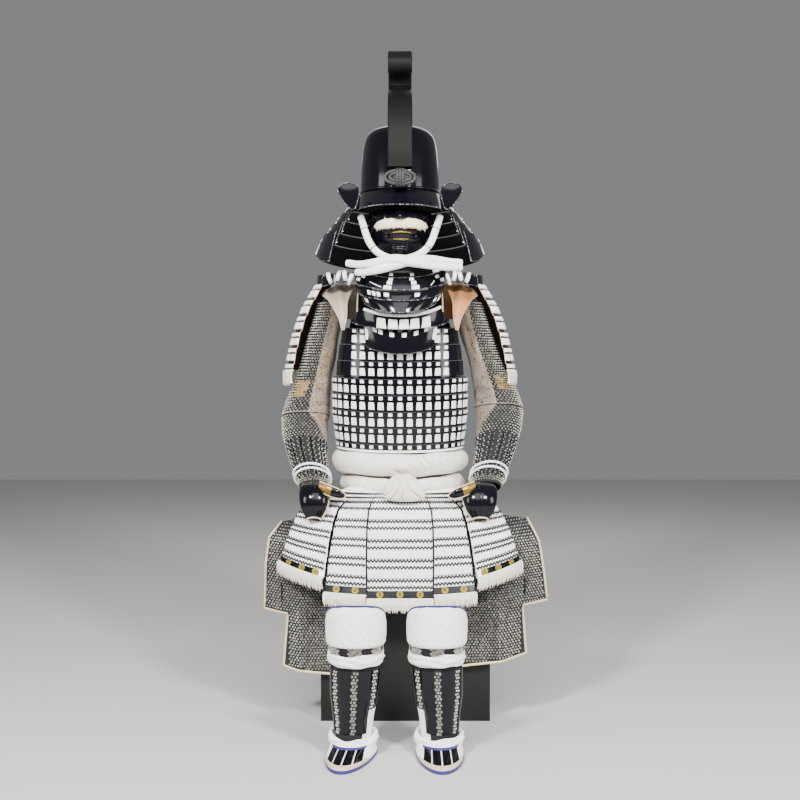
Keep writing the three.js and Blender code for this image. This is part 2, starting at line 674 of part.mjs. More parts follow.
// Sleeve rings from the shoulder to the wrist, for the right arm: middle, half width and half
// depth of the ring, and the tilt of its plane up to the front, in degrees.
const SLEEVE = [
  { part: "upper", x: 186, y: 6, z: 1092, halfWidth: 32, halfDepth: 54, tilt: 0 },
  { part: "upper", x: 192, y: 6, z: 1045, halfWidth: 40, halfDepth: 58, tilt: 0 },
  { part: "upper", x: 211, y: 8, z: 975, halfWidth: 43, halfDepth: 58, tilt: 0 },
  { part: "upper", x: 231, y: 10, z: 900, halfWidth: 46, halfDepth: 56, tilt: 0 },
  { part: "upper", x: 250, y: 14, z: 835, halfWidth: 59, halfDepth: 56, tilt: 6 },
  { part: "upper", x: 258, y: 10, z: 792, halfWidth: 64, halfDepth: 54, tilt: 14 },
  { part: "forearm", x: 259, y: 9, z: 789.5, halfWidth: 64, halfDepth: 54, tilt: 14 },
  { part: "forearm", x: 258, y: -10, z: 738, halfWidth: 60, halfDepth: 48, tilt: 28 },
  { part: "forearm", x: 249, y: -48, z: 686, halfWidth: 51, halfDepth: 42, tilt: 36 },
  { part: "forearm", x: 235, y: -82, z: 640, halfWidth: 45, halfDepth: 35, tilt: 36 },
  { part: "forearm", x: 222, y: -113, z: 598, halfWidth: 40, halfDepth: 31, tilt: 36 },
];
const ELBOW = { left: { out: -4, up: -10 }, right: { out: 9, up: 12 } };

function sleeveRing(row, side, elbow) {
  // The elbow's offset fades out towards the shoulder and the wrist.
  const share = bump(row.z - 800, 130);
  const tilt = radians(row.tilt);
  return steps(-180, 180, 12).map((angle) => {
    const flat = around(angle, row.halfWidth, row.halfDepth, 0);
    const x = side * (row.x + elbow.out * share) + flat.x;
    const z = row.z + elbow.up * share - flat.y * Math.sin(tilt);
    return new THREE.Vector3(x, row.y + flat.y * Math.cos(tilt), z);
  });
}

// The back of the hand is a domed plate over the wrist's end.
const HAND = [
  { y: -142, z: 612, wide: 0.84, dome: 8 },
  { y: -165, z: 600, wide: 1, dome: 20 },
  { y: -183, z: 577, wide: 1, dome: 26 },
  { y: -195, z: 550, wide: 0.84, dome: 22 },
  { y: -197, z: 524, wide: 0.46, dome: 12 },
];
const HAND_OUT = { y: -0.8, z: 0.6 }; // which way the back of the hand faces
const HAND_PLACE = { left: { x: -219, halfWidth: 38 }, right: { x: 204, halfWidth: 44 } };

// Cloth that comes over the shoulder from the sleeve, from behind to the front.
const YOKE = [
  { y: 120, z: 1050, inner: 118, outer: 150 }, { y: 88, z: 1108, inner: 118, outer: 188 },
  { y: 10, z: 1142, inner: 116, outer: 205 }, { y: -50, z: 1130, inner: 118, outer: 206 },
  { y: -92, z: 1092, inner: 136, outer: 184 }, { y: -114, z: 1046, inner: 138, outer: 162 },
  { y: -122, z: 1010, inner: 144, outer: 152 },
];

function makeSleeves() {
  for (const [side, hand] of [[-1, "left"], [1, "right"]]) {
    for (const part of ["upper", "forearm"]) {
      const rings = SLEEVE.filter((row) => row.part === part)
        .map((row) => sleeveRing(row, side, ELBOW[hand]));
      add((part === "upper" ? "sleeve_upper_" : "sleeve_forearm_") + hand, wall(rings, CLOTH), BROCADE);
    }
    const guard = HAND.map((row) => steps(-90, 90, 8).map((angle) => {
      const place = HAND_PLACE[hand];
      const x = place.x + place.halfWidth * row.wide * Math.sin(radians(angle));
      const out = row.dome * Math.cos(radians(angle));
      return new THREE.Vector3(x, row.y + out * HAND_OUT.y, row.z + out * HAND_OUT.z);
    }));
    add("hand_guard_" + hand, wall(guard, PLATE), LACQUER);
    const yoke = YOKE.map((row) => {
      const edges = side < 0 ? [-row.outer, -row.inner] : [row.inner, row.outer];
      return steps(edges[0], edges[1], 3).map((x) => {
        const fall = 26 * (Math.max(0, Math.abs(x) - 150) / 55) ** 2;
        return new THREE.Vector3(x, row.y, row.z - fall);
      });
    });
    add("shoulder_cloth_" + hand, wall(yoke, CLOTH), SATIN);
  }
}

// ---- Legs -------------------------------------------------------------------------------------

// Shin-guard rings, from under the knee tie to the ankle. `inset` leans the leg inwards.
const SHIN = [
  { z: 248, halfWidth: 52, halfDepth: 50, inset: 0 },
  { z: 214, halfWidth: 53, halfDepth: 51, inset: 0 },
  { z: 204, halfWidth: 60, halfDepth: 56, inset: 0 },
  { z: 140, halfWidth: 56, halfDepth: 52, inset: 3 },
  { z: 90, halfWidth: 48, halfDepth: 46, inset: 5 },
  { z: 35, halfWidth: 43, halfDepth: 43, inset: 6 },
];
const KNEE = [
  { z: 355, halfWidth: 64, reach: 36 },
  { z: 348, halfWidth: 66, reach: 60 },
  { z: 328, halfWidth: 69, reach: 84 },
  { z: 290, halfWidth: 69, reach: 95 },
  { z: 251, halfWidth: 66, reach: 95 },
];
const TIES = [
  { name: "knee_tie_", z: 232, radius: 60.5, high: 15, inset: 0, lower: 3 },
  { name: "ankle_tie_", z: 48, radius: 53, high: 12, inset: 6, lower: 2 },
];
// Foot rings, from the ankle to the sole: half width, reach to the heel and to the toes.
const FOOT = [
  { z: 31, halfWidth: 50, heel: 50, toe: 68 },
  { z: 23, halfWidth: 52, heel: 52, toe: 112 },
  { z: 12, halfWidth: 56, heel: 54, toe: 155 },
  { z: 0, halfWidth: 56, heel: 54, toe: 163 },
];
const LEGS = {
  left: { side: -1, x: -104, turn: -9 },
  right: { side: 1, x: 87, turn: 1 },
};

function makeLegs() {
  for (const [name, leg] of Object.entries(LEGS)) {
    const about = steps(-180, 180, 14);
    const middleX = (inset) => leg.x + leg.side * inset;
    const shin = SHIN.map((row) => about.map((angle) =>
      around(angle, row.halfWidth, row.halfDepth, row.z, SHIN_Y, middleX(row.inset))));
    add("shin_guard_" + name, wall(shin, 3), LACQUER);

    const knee = KNEE.map((row) => steps(-row.reach, row.reach, 10).map((angle) =>
      around(angle, row.halfWidth, row.halfWidth, row.z, SHIN_Y, leg.x)));
    add("knee_pad_" + name, wall(knee, PADDED), WHITE_CLOTH);

    for (const tie of TIES) {
      const route = steps(0, 360, 12).slice(0, -1).map((angle) => {
        const z = tie.z - tie.lower * Math.cos(radians(angle));
        return around(angle, tie.radius, tie.radius - 2, z, SHIN_Y, middleX(tie.inset));
      });
      add(tie.name + name, tube(route, 6, tie.high, 14, 6, true), WHITE_CLOTH);
    }

    const turned = radians(leg.turn);
    const foot = FOOT.map((row) => about.map((angle) => {
      const point = around(angle, row.halfWidth, Math.cos(radians(angle)) > 0 ? row.toe : row.heel, row.z);
      return new THREE.Vector3(
        middleX(6) + point.x * Math.cos(turned) - point.y * Math.sin(turned),
        SHIN_Y + point.x * Math.sin(turned) + point.y * Math.cos(turned),
        row.z,
      );
    }));
    const sole = foot[foot.length - 1].map(() => new THREE.Vector3(middleX(6), SHIN_Y, 0));
    add("foot_cover_" + name, wall([...foot, sole], CLOTH), WHITE_CLOTH);
  }
}

makeStand();
makeHelmet();
makeCrest();
makeMask();
makeChinCord();
makeCollar();
makeCuirass();
makeSash();
makeTassets();
makeApron();
makeShields();
makeSleeves();
makeLegs();

export default armour;
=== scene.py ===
"""Samurai armour seated on its armour chest: the looks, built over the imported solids.

Shapes are worked out in millimetres, in the part's own frame (+X the viewer's right, -Y the
front, +Z up), and turn into metres where a mesh is made. Each section makes one piece, or one
group of like pieces, in the order in which the armour is put together.
"""

import math

import bmesh
import bpy
import numpy as np
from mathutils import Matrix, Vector


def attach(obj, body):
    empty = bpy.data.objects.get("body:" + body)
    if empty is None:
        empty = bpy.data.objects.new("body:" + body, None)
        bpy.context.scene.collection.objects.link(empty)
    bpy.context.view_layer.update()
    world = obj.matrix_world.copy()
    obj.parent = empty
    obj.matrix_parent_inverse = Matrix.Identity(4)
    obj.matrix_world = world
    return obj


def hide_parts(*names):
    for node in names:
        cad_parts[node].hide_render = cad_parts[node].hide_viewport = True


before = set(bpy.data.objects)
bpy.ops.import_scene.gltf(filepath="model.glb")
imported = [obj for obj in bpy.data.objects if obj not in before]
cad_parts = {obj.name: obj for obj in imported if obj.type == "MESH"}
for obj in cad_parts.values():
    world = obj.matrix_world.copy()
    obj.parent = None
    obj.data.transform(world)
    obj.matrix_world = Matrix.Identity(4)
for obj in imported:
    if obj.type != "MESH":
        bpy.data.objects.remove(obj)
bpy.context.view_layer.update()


# ---- Camera -----------------------------------------------------------------------------------
# A little below the middle of the armour's front, from a visitor's distance, with a short
# telephoto lens held nearly level.

camera = bpy.data.objects.new("camera", bpy.data.cameras.new("camera"))
camera.data.lens = 54
camera.data.sensor_width = 36
camera.location = (0, -3.24, 0.892)
camera.rotation_euler = (math.radians(90 - 1.19), 0, 0)
bpy.context.scene.collection.objects.link(camera)
bpy.context.scene.camera = camera


# ---- Chin cord and its bow --------------------------------------------------------------------
# A soft white cotton cord as thick as a finger. It comes out of the helmet at both temples,
# runs down over the cheeks of the mask, and is tied under the chin in a wide loose bow. Thin
# black ties hold it to the cheeks.


def linear(code):
    """A '#rrggbb' sRGB colour as linear RGBA: below 0.04045 it is divided by 12.92, and above
    that it is ((c + 0.055) / 1.055) to the power 2.4."""
    srgb = np.array([int(code[i:i + 2], 16) for i in (1, 3, 5)]) / 255
    rgb = np.where(srgb <= 0.04045, srgb / 12.92, ((srgb + 0.055) / 1.055) ** 2.4)
    return (*rgb.tolist(), 1.0)


def new_material(name, code, roughness, **sockets):
    """A material with a Principled shader: its colour, its roughness, and further sockets by
    name, with _ for a space. Returns the material and the shader."""
    material = bpy.data.materials.new(name)
    material.use_nodes = True
    shader = material.node_tree.nodes["Principled BSDF"]
    shader.inputs["Base Color"].default_value = linear(code)
    shader.inputs["Roughness"].default_value = roughness
    for socket, value in sockets.items():
        shader.inputs[socket.replace("_", " ")].default_value = value
    material.diffuse_color = linear(code)
    return material, shader


def add(material, kind, inputs, **settings):
    """Adds one node. An input is a plain value, or another node's output to link from."""
    made = material.node_tree.nodes.new("ShaderNode" + kind)
    for name, value in settings.items():
        setattr(made, name, value)
    for name, value in inputs.items():
        if isinstance(value, bpy.types.NodeSocket):
            material.node_tree.links.new(value, made.inputs[name])
        else:
            made.inputs[name].default_value = value
    return made


def connect(material, output, socket):
    material.node_tree.links.new(output, socket)


def place_on(material):
    """Where a point lies on its piece, so that a texture keeps its real size."""
    return add(material, "TexCoord", {}).outputs["Object"]


def tinted(material, shader, share, dark, light):
    """Colours a finish between two '#rrggbb' codes, by a share from 0 to 1."""
    tint = add(material, "Mix", {"Factor": share, "A": linear(dark), "B": linear(light)},
               data_type="RGBA")
    connect(material, tint.outputs["Result"], shader.inputs["Base Color"])


def raised(material, shader, height, strength, deep):
    """Gives a finish its relief, `deep` metres from the lowest height to the highest."""
    relief = add(material, "Bump", {"Height": height, "Strength": strength, "Distance": deep})
    connect(material, relief.outputs[0], shader.inputs["Normal"])


def new_piece(name, points, looks, replaces=(), flat=None, around=False, poles=False,
              wall=0.0, face_looks=None, sharp=35):
    """A mesh from grids of points, shape (..., rows, columns, 3): every four neighbours make
    one face, which looks outwards if rows run down and columns run to the right as seen from
    outside. `around` joins the last column to the first, `poles` merges rows that shrink to a
    point, and `wall` thickens the surface inwards. `flat` holds each grid point's place on the
    flat cloth in mm, with one more column if `around`. `face_looks` gives each face a look."""
    points = np.asarray(points, float)
    number = np.arange(points[..., 0].size).reshape(points.shape[:-1])
    if around:
        number = np.concatenate([number, number[..., :1]], -1)

    def corners(grid):
        cells = (grid[..., :-1, :-1, :], grid[..., 1:, :-1, :], grid[..., 1:, 1:, :],
                 grid[..., :-1, 1:, :])
        return np.stack(cells, -2)

    faces = corners(number[..., None])[..., 0].reshape(-1, 4)
    mesh = bpy.data.meshes.new(name)
    mesh.from_pydata((points.reshape(-1, 3) / 1000).tolist(), [], faces.tolist())
    if flat is not None:
        place = corners(np.broadcast_to(flat, (*number.shape, 2))).reshape(-1, 2)
        place = np.concatenate([place, np.zeros((len(place), 1))], 1)
        mesh.attributes.new("flat", "FLOAT_VECTOR", "CORNER").data.foreach_set(
            "vector", place.astype(np.float32).ravel())
    looks = looks if isinstance(looks, (list, tuple)) else [looks]
    for look in looks:
        mesh.materials.append(look)
    if face_looks is not None:
        mesh.polygons.foreach_set("material_index", np.asarray(face_looks, np.int32).ravel())
    piece = bpy.data.objects.new(name, mesh)
    bpy.context.scene.collection.objects.link(piece)
    if poles:
        work = bmesh.new()
        work.from_mesh(mesh)
        bmesh.ops.remove_doubles(work, verts=work.verts, dist=1e-6)
        work.to_mesh(mesh)
        work.free()
    if wall:
        thicken = piece.modifiers.new("wall", "SOLIDIFY")
        thicken.thickness = wall / 1000
        thicken.offset = -1
        thicken.material_offset = len(looks) - 1 if face_looks is None else 0
        whole = piece.evaluated_get(bpy.context.evaluated_depsgraph_get())
        piece.data = bpy.data.meshes.new_from_object(whole)
        piece.modifiers.clear()
    piece.data.shade_smooth()
    piece.data.set_sharp_from_angle(angle=math.radians(sharp))
    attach(piece, "root")
    if replaces:
        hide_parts(*replaces)
    return piece


def smooth_line(points, count, closed=False):
    """`count` points on a Catmull-Rom curve: between two points p1 and p2 with neighbours p0
    and p3 it is (2 p1 + (p2 - p0) t + (2 p0 - 5 p1 + 4 p2 - p3) t^2
    + (3 p1 - p0 - 3 p2 + p3) t^3) / 2."""
    points = np.asarray(points, float)
    last = len(points) if closed else len(points) - 1
    at = np.linspace(0, last, count, endpoint=not closed)
    first = np.minimum(at.astype(int), last - 1)
    t = (at - first)[:, None]
    if closed:
        p0, p1, p2, p3 = (points[(first + k) % last] for k in (-1, 0, 1, 2))
    else:
        before, after = 2 * points[0] - points[1], 2 * points[-1] - points[-2]
        padded = np.concatenate([[before], points, [after]])
        p0, p1, p2, p3 = (padded[first + k] for k in (0, 1, 2, 3))
    return (2 * p1 + (p2 - p0) * t + (2 * p0 - 5 * p1 + 4 * p2 - p3) * t ** 2
            + (3 * p1 - p0 - 3 * p2 + p3) * t ** 3) / 2


def tube(route, half_out, half_across, sides, out, closed=False, ends=True):
    """An ellipse carried along a route. At each point `out` is made square to the route, and
    the ring is centre + half_out cos(a) out + half_across sin(a) (out x route), so that it
    turns to the right as seen from outside. An open tube's ends shrink to a point."""
    route = np.asarray(route, float)
    if closed:
        along = np.roll(route, -1, 0) - np.roll(route, 1, 0)
    else:
        along = np.gradient(route, axis=0)
    along /= np.linalg.norm(along, axis=1, keepdims=True)
    out = np.broadcast_to(np.asarray(out, float), route.shape)
    out = out - (out * along).sum(1, keepdims=True) * along
    out /= np.linalg.norm(out, axis=1, keepdims=True)
    right = np.cross(out, along)
    angle = np.linspace(0, 2 * np.pi, sides, endpoint=False)[None, :, None]
    half_out = np.broadcast_to(half_out, len(route))[:, None, None]
    half_across = np.broadcast_to(half_across, len(route))[:, None, None]
    rings = (route[:, None] + half_out * np.cos(angle) * out[:, None]
             + half_across * np.sin(angle) * right[:, None])
    if closed:
        return np.concatenate([rings, rings[:1]])
    if not ends:
        return rings
    caps = [np.repeat(route[[i]][:, None], sides, 1) for i in (0, -1)]
    return np.concatenate([caps[0], rings, caps[1]])


def tube_flat(route_length, rows, sides, girth):
    """Each ring point's place on a tube's unrolled skin: mm around it and mm along it."""
    across, down = np.meshgrid(np.linspace(0, girth, sides + 1), np.linspace(0, route_length, rows))
    return np.stack([across, down], -1)


def length_of(route):
    return np.linalg.norm(np.diff(route, axis=0), axis=1).sum()


# Braided cotton cord: strands about 3 mm wide cross it slantwise, which shows as a soft
# herringbone with matt white highlights.
cotton_cord, shader = new_material("braided_cotton_cord", "#f3f2ee", 0.85, Sheen_Weight=0.3)
place = add(cotton_cord, "Attribute", {}, attribute_name="flat").outputs["Vector"]
scaled = add(cotton_cord, "Mapping", {"Vector": place, "Rotation": (0, 0, math.radians(38))})
strands = add(cotton_cord, "TexWave", {"Vector": scaled.outputs[0], "Scale": 0.1, "Distortion": 0.6,
                                       "Detail": 1.0}, bands_direction="X")
shade = add(cotton_cord, "MapRange", {"Value": strands.outputs["Fac"], "To Min": 0.0, "To Max": 1.0})
tinted(cotton_cord, shader, shade.outputs[0], "#e4e2dd", "#fbfaf8")
raised(cotton_cord, shader, strands.outputs["Fac"], 0.5, 0.0008)

black_cord, _ = new_material("black_silk_cord", "#1b1a1f", 0.55, Sheen_Weight=0.2)

CHIN_CORD = [
    [-103, -78, 1308], [-96, -112, 1284], [-88, -136, 1256], [-76, -156, 1228],
    [-56, -172, 1204], [-28, -182, 1190], [0, -185, 1187], [28, -182, 1191],
    [58, -172, 1206], [78, -156, 1230], [89, -136, 1258], [98, -112, 1285], [105, -78, 1308],
]
route = smooth_line(CHIN_CORD, 97)
rings = tube(route, 8, 9, 14, (0, -1, 0))
cord_skin = tube_flat(length_of(route), len(rings), 14, 52)
chin_cord = new_piece("chin_cord", rings, cotton_cord, ["chin_cord"],
                      flat=cord_skin, around=True, poles=True)

# Each tie is two turns of thin black cord round the white one.
tie_places = [13, 28, 68, 83]
for number, at in enumerate(tie_places):
    turns = smooth_line(route[at - 1:at + 2], 9)
    ring = tube(turns, 9.3, 9.8, 14, (0, -1, 0), ends=False)
    new_piece(f"chin_tie_{number + 1}", ring[3:6], black_cord,
                          around=True, wall=1.2)

# The bow: two soft cords cross under the chin, each flattened and fuller in the middle. Their
# four ends lie across the throat, two to each side.
BOW = {
    "chin_bow": [[-112, -182, 1153], [-84, -197, 1153], [-48, -206, 1160], [-8, -211, 1171],
                 [34, -211, 1183], [76, -205, 1185], [118, -191, 1180], [157, -172, 1179]],
    "chin_bow_cross": [[-136, -168, 1178], [-104, -186, 1173], [-62, -200, 1176], [-14, -214, 1184],
                       [32, -216, 1176], [78, -208, 1168], [120, -193, 1166], [157, -174, 1166]],
}
for name, points in BOW.items():
    route = smooth_line(points, 81)
    at = np.linspace(0, 1, len(route))
    full = 0.86 + 0.34 * np.exp(-((at - 0.47) / 0.2) ** 2) + 0.05 * np.sin(at * 23 + len(name))
    full *= np.minimum(1, 0.86 + at * 3) * np.minimum(1, 0.9 + (1 - at) * 4)
    rings = tube(route, 8.5 * full, 10.5 * full, 20, (0, -1, 0))
    bow = new_piece(name, rings, cotton_cord, ["chin_bow"] if name == "chin_bow" else (),
                    flat=tube_flat(length_of(route), len(rings), 20, 60), around=True, poles=True)


# ---- Armour chest -----------------------------------------------------------------------------
# The armour is stored in this box and shown sitting on it: thin boards with a cap lid, painted
# with black satin lacquer that has dulled. Its front is left bare.

chest_lacquer, shader = new_material("dulled_black_lacquer", "#10120f", 0.42, IOR=1.4)
place = place_on(chest_lacquer)
cloudy = add(chest_lacquer, "TexNoise", {"Vector": place, "Scale": 9.0, "Detail": 5.0})
tinted(chest_lacquer, shader, cloudy.outputs["Fac"], "#0b0d0a", "#151814")
worn = add(chest_lacquer, "MapRange", {"Value": cloudy.outputs["Fac"], "To Min": 0.3, "To Max": 0.6})
connect(chest_lacquer, worn.outputs[0], shader.inputs["Roughness"])
brushed = add(chest_lacquer, "TexNoise", {"Vector": place, "Scale": 160.0, "Detail": 2.0})
raised(chest_lacquer, shader, brushed.outputs["Fac"], 0.12, 0.001)


def keep_node(name, look):
    """A CAD node that is shown as it is, in a better finish."""
    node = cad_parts[name]
    node.data.materials.clear()
    node.data.materials.append(look)


keep_node("chest_body", chest_lacquer)
keep_node("chest_lid", chest_lacquer)


# ---- Post stand -------------------------------------------------------------------------------
# A plain stained post on the chest's lid, with a bar for the cuirass's shoulder straps and a
# rounded block for the helmet.

stained_wood, shader = new_material("dark_stained_wood", "#3a2c22", 0.5)
place = place_on(stained_wood)
drawn_out = add(stained_wood, "Mapping", {"Vector": place, "Scale": (1, 1, 0.06)})
grain = add(stained_wood, "TexNoise", {"Vector": drawn_out.outputs[0], "Scale": 220.0,
                                       "Detail": 4.0, "Roughness": 0.65})
tinted(stained_wood, shader, grain.outputs["Fac"], "#241b15", "#4b392b")
raised(stained_wood, shader, grain.outputs["Fac"], 0.2, 0.0006)
keep_node("stand_post", stained_wood)


# ---- Foot covers ------------------------------------------------------------------------------
# White cotton socks in mail-backed instep guards: a flat sole bound with indigo cloth, a low
# white upper with a tan band over the toes, and lacquered splints over the instep.

LEGS = {"left": (-1, -104, -9), "right": (1, 87, 1)}
SHIN_Y = -420


def around(angle, half_width, half_depth, z, centre_y=0.0, centre_x=0.0, square=2.0):
    """A rounded ring: x = centre + half width sin^(2/square), y = centre - half depth
    cos^(2/square), with the angle in degrees from the front towards +X."""
    turn = np.radians(angle)
    across, along = np.sin(turn), np.cos(turn)
    x = centre_x + half_width * np.sign(across) * np.abs(across) ** (2 / square)
    y = centre_y - half_depth * np.sign(along) * np.abs(along) ** (2 / square)
    return np.stack(np.broadcast_arrays(x, y, z), -1).astype(float)


def turned(points, degrees, x, y):
    """The points turned about the upright line through (x, y)."""
    turn = math.radians(degrees)
    moved = points - [x, y, 0]
    across = moved[..., 0] * math.cos(turn) - moved[..., 1] * math.sin(turn)
    along = moved[..., 0] * math.sin(turn) + moved[..., 1] * math.cos(turn)
    return np.stack([across + x, along + y, points[..., 2]], -1)


# Bleached cotton, closely woven: matt, with a faint nap and shallow soft creases.
white_cotton, shader = new_material("white_cotton", "#f4f3f1", 0.9, Sheen_Weight=0.35)
place = place_on(white_cotton)
nap = add(white_cotton, "TexNoise", {"Vector": place, "Scale": 900.0, "Detail": 2.0})
creased = add(white_cotton, "TexNoise", {"Vector": place, "Scale": 38.0, "Detail": 3.0})
both = add(white_cotton, "Math", {0: nap.outputs["Fac"], 1: 0.25, 2: creased.outputs["Fac"]},
           operation="MULTIPLY_ADD")
raised(white_cotton, shader, both.outputs[0], 0.35, 0.002)

# Indigo-dyed binding cloth: even blue, matt.
indigo_cloth, shader = new_material("indigo_binding", "#1d1968", 0.8, Sheen_Weight=0.2)
place = place_on(indigo_cloth)
nap = add(indigo_cloth, "TexNoise", {"Vector": place, "Scale": 700.0, "Detail": 2.0})
raised(indigo_cloth, shader, nap.outputs["Fac"], 0.3, 0.0006)

tan_cloth, shader = new_material("tan_toe_band", "#c9a877", 0.75, Sheen_Weight=0.2)
place = place_on(tan_cloth)
nap = add(tan_cloth, "TexNoise", {"Vector": place, "Scale": 260.0, "Detail": 4.0})
tinted(tan_cloth, shader, nap.outputs["Fac"], "#b08850", "#e8d9bd")

# Urushi lacquer over iron or rawhide: many polished coats, nearly black with a violet cast,
# with mirror-like highlights and a very slight waviness.
black_lacquer, shader = new_material("black_urushi_lacquer", "#08080c", 0.12,
                                      Specular_IOR_Level=0.28)
place = place_on(black_lacquer)
dust = add(black_lacquer, "TexNoise", {"Vector": place, "Scale": 14.0, "Detail": 6.0})
worn = add(black_lacquer, "MapRange", {"Value": dust.outputs["Fac"], "To Min": 0.06, "To Max": 0.2})
connect(black_lacquer, worn.outputs[0], shader.inputs["Roughness"])
tinted(black_lacquer, shader, dust.outputs["Fac"], "#060609", "#0e0d15")
wavy = add(black_lacquer, "TexNoise", {"Vector": place, "Scale": 32.0, "Detail": 2.0})
raised(black_lacquer, shader, wavy.outputs["Fac"], 0.12, 0.002)

FOOT = np.array([[31, 50, 50, 68], [27, 51, 51, 92], [23, 52, 52, 112], [17, 54, 53, 138],
                 [12, 56, 54, 155], [6, 56, 54, 161], [0, 56, 54, 163]], float)


def foot_at(angle, z, leg_x, grown=0.0):
    """The foot cover at a height: an ellipse whose reach to the toes is longer than that to
    the heel, both read from the height by straight lines."""
    half, heel, toe = (np.interp(z, FOOT[::-1, 0], FOOT[::-1, k]) + grown for k in (1, 2, 3))
    ahead = np.cos(np.radians(angle)) > 0
    return around(angle, half, np.where(ahead, toe, heel), z, SHIN_Y, leg_x)


ring = np.linspace(-180, 180, 61)[:-1]
for name, (side, leg_x, toe_out) in LEGS.items():
    x = leg_x + side * 6
    heights = np.array([31, 29, 26, 23, 20, 16, 12, 8])[:, None]
    upper = foot_at(ring, heights, x)
    inner_top = around(ring, 44, 44, np.full(1, 29.0)[:, None], SHIN_Y, x)
    new_piece(f"foot_upper_{name}", turned(np.concatenate([inner_top, upper]), toe_out, x, SHIN_Y),
              white_cotton, [f"foot_cover_{name}"], around=True)
    heights = np.array([8.5, 8, 5, 1.5, 0, 0])[:, None]
    grown = np.array([-1.5, 0.6, 1.4, 1.0, -1.0, -54])[:, None]
    sole = foot_at(ring, heights, x, grown)
    new_piece(f"foot_sole_{name}", turned(sole, toe_out, x, SHIN_Y), indigo_cloth,
              around=True, wall=1)
    # The tan band over the toes and, above it, three splints with indigo tops.
    front = np.linspace(-62, 62, 41)
    band = foot_at(front, np.array([15, 12, 9, 8])[:, None], x, np.array([0.2, 1.2, 1.3, 1.0])[:, None])
    new_piece(f"toe_band_{name}", turned(band, toe_out, x, SHIN_Y), tan_cloth, wall=1)
    for number, middle in enumerate((-36, -12, 12, 36)):
        span = np.linspace(middle - 10.5, middle + 10.5, 9)
        splint = foot_at(span, np.array([30.6, 28, 24, 19, 15.5])[:, None], x, 2.2)
        new_piece(f"instep_splint_{name}_{number + 1}", turned(splint, toe_out, x, SHIN_Y),
                  black_lacquer, wall=1.5)
    span = np.linspace(-50, 50, 31)
    top = foot_at(span, np.array([32.5, 31.5, 29.5])[:, None], x, 3.2)
    new_piece(f"instep_edge_{name}", turned(top, toe_out, x, SHIN_Y), indigo_cloth, wall=1)


# ---- Shin guards ------------------------------------------------------------------------------
# Long lacquered splints linked by strips of mail and sewn on a lined cloth, which wraps the
# calf over white cotton leggings. The legs taper towards the ankle and lean a little inwards.


def links(name, surface, u, v, half_u, half_v, height, look):
    """Mail links sewn on a cloth. Each lies at surface(u, v): a six-sided ring whose axes are
    the surface's own directions across and down there, and whose wire is raised along their
    cross product."""
    step = 0.01
    draw = np.random.default_rng(len(u))
    middle = surface(u, v)
    across = surface(u + step, v) - surface(u - step, v)
    down = surface(u, v + step) - surface(u, v - step)
    across /= np.linalg.norm(across, axis=-1, keepdims=True)
    down /= np.linalg.norm(down, axis=-1, keepdims=True)
    proud = np.cross(down, across)
    turn = -np.linspace(0, 2 * np.pi, 6, endpoint=False)[:, None]
    reach = np.array([0.36, 0.7, 1])[:, None, None]
    rise = np.array([-0.3, height, -0.3])[:, None, None]
    # No two links are quite alike: each is up to a sixth larger or smaller, and a little askew.
    size = draw.uniform(0.84, 1.16, (len(u), 1, 1))
    middle = middle + draw.normal(0, 0.35, (len(u), 1)) * across + draw.normal(0, 0.3, (len(u), 1)) * down
    wide = size * (half_u * np.cos(turn) * across[:, None] + half_v * np.sin(turn) * down[:, None])
    grid = middle[:, None, None] + reach * wide[:, None] + rise * proud[:, None, None]
    return new_piece(name, grid, look, around=True, sharp=80)


def staggered(first_u, last_u, step_u, first_v, last_v, step_v):
    """Rows of places in which every other row is shifted by half a step."""
    rows = np.arange(first_v, last_v, step_v)
    columns = np.arange(first_u, last_u, step_u)
    u, v = np.meshgrid(columns, rows)
    u = u + (np.arange(len(rows)) % 2)[:, None] * step_u / 2
    return u.ravel(), v.ravel()


# Small links of iron wire, blackened once and rubbed bright on top, with a warm cast.
mail_iron, shader = new_material("rubbed_iron_links", "#c9c5b8", 0.38, Metallic=0.35)
place = place_on(mail_iron)
uneven = add(mail_iron, "TexNoise", {"Vector": place, "Scale": 120.0, "Detail": 3.0})
tinted(mail_iron, shader, uneven.outputs["Fac"], "#524f43", "#dfdace")

# The cloth under the mail: black hemp in a plain weave, with threads about 1 mm apart.
black_hemp, shader = new_material("black_hemp", "#0f0f12", 0.9, Sheen_Weight=0.04)
place = place_on(black_hemp)
weave = add(black_hemp, "TexVoronoi", {"Vector": place, "Scale": 700.0})
tinted(black_hemp, shader, weave.outputs["Distance"], "#17171b", "#08080a")
raised(black_hemp, shader, weave.outputs["Distance"], 0.4, 0.0006)

SHIN = np.array([[248, 52, 50, 0], [214, 53, 51, 0], [204, 60, 56, 0], [140, 56, 52, 3],
                 [90, 48, 46, 5], [35, 43, 43, 6]], float)
SPLINTS = (-78, -26, 26, 78)  # middles of the splints, in degrees from the front


def shin_at(angle, z, leg, grown=0.0):
    """The shin guard at a height: an ellipse whose half width, half depth and shift inwards
    are read from the height by straight lines."""
    side, leg_x, _ = leg
    half, deep, inset = (np.interp(z, SHIN[::-1, 0], SHIN[::-1, k]) for k in (1, 2, 3))
    return around(angle, half + grown, deep + grown, z, SHIN_Y, leg_x + side * inset)


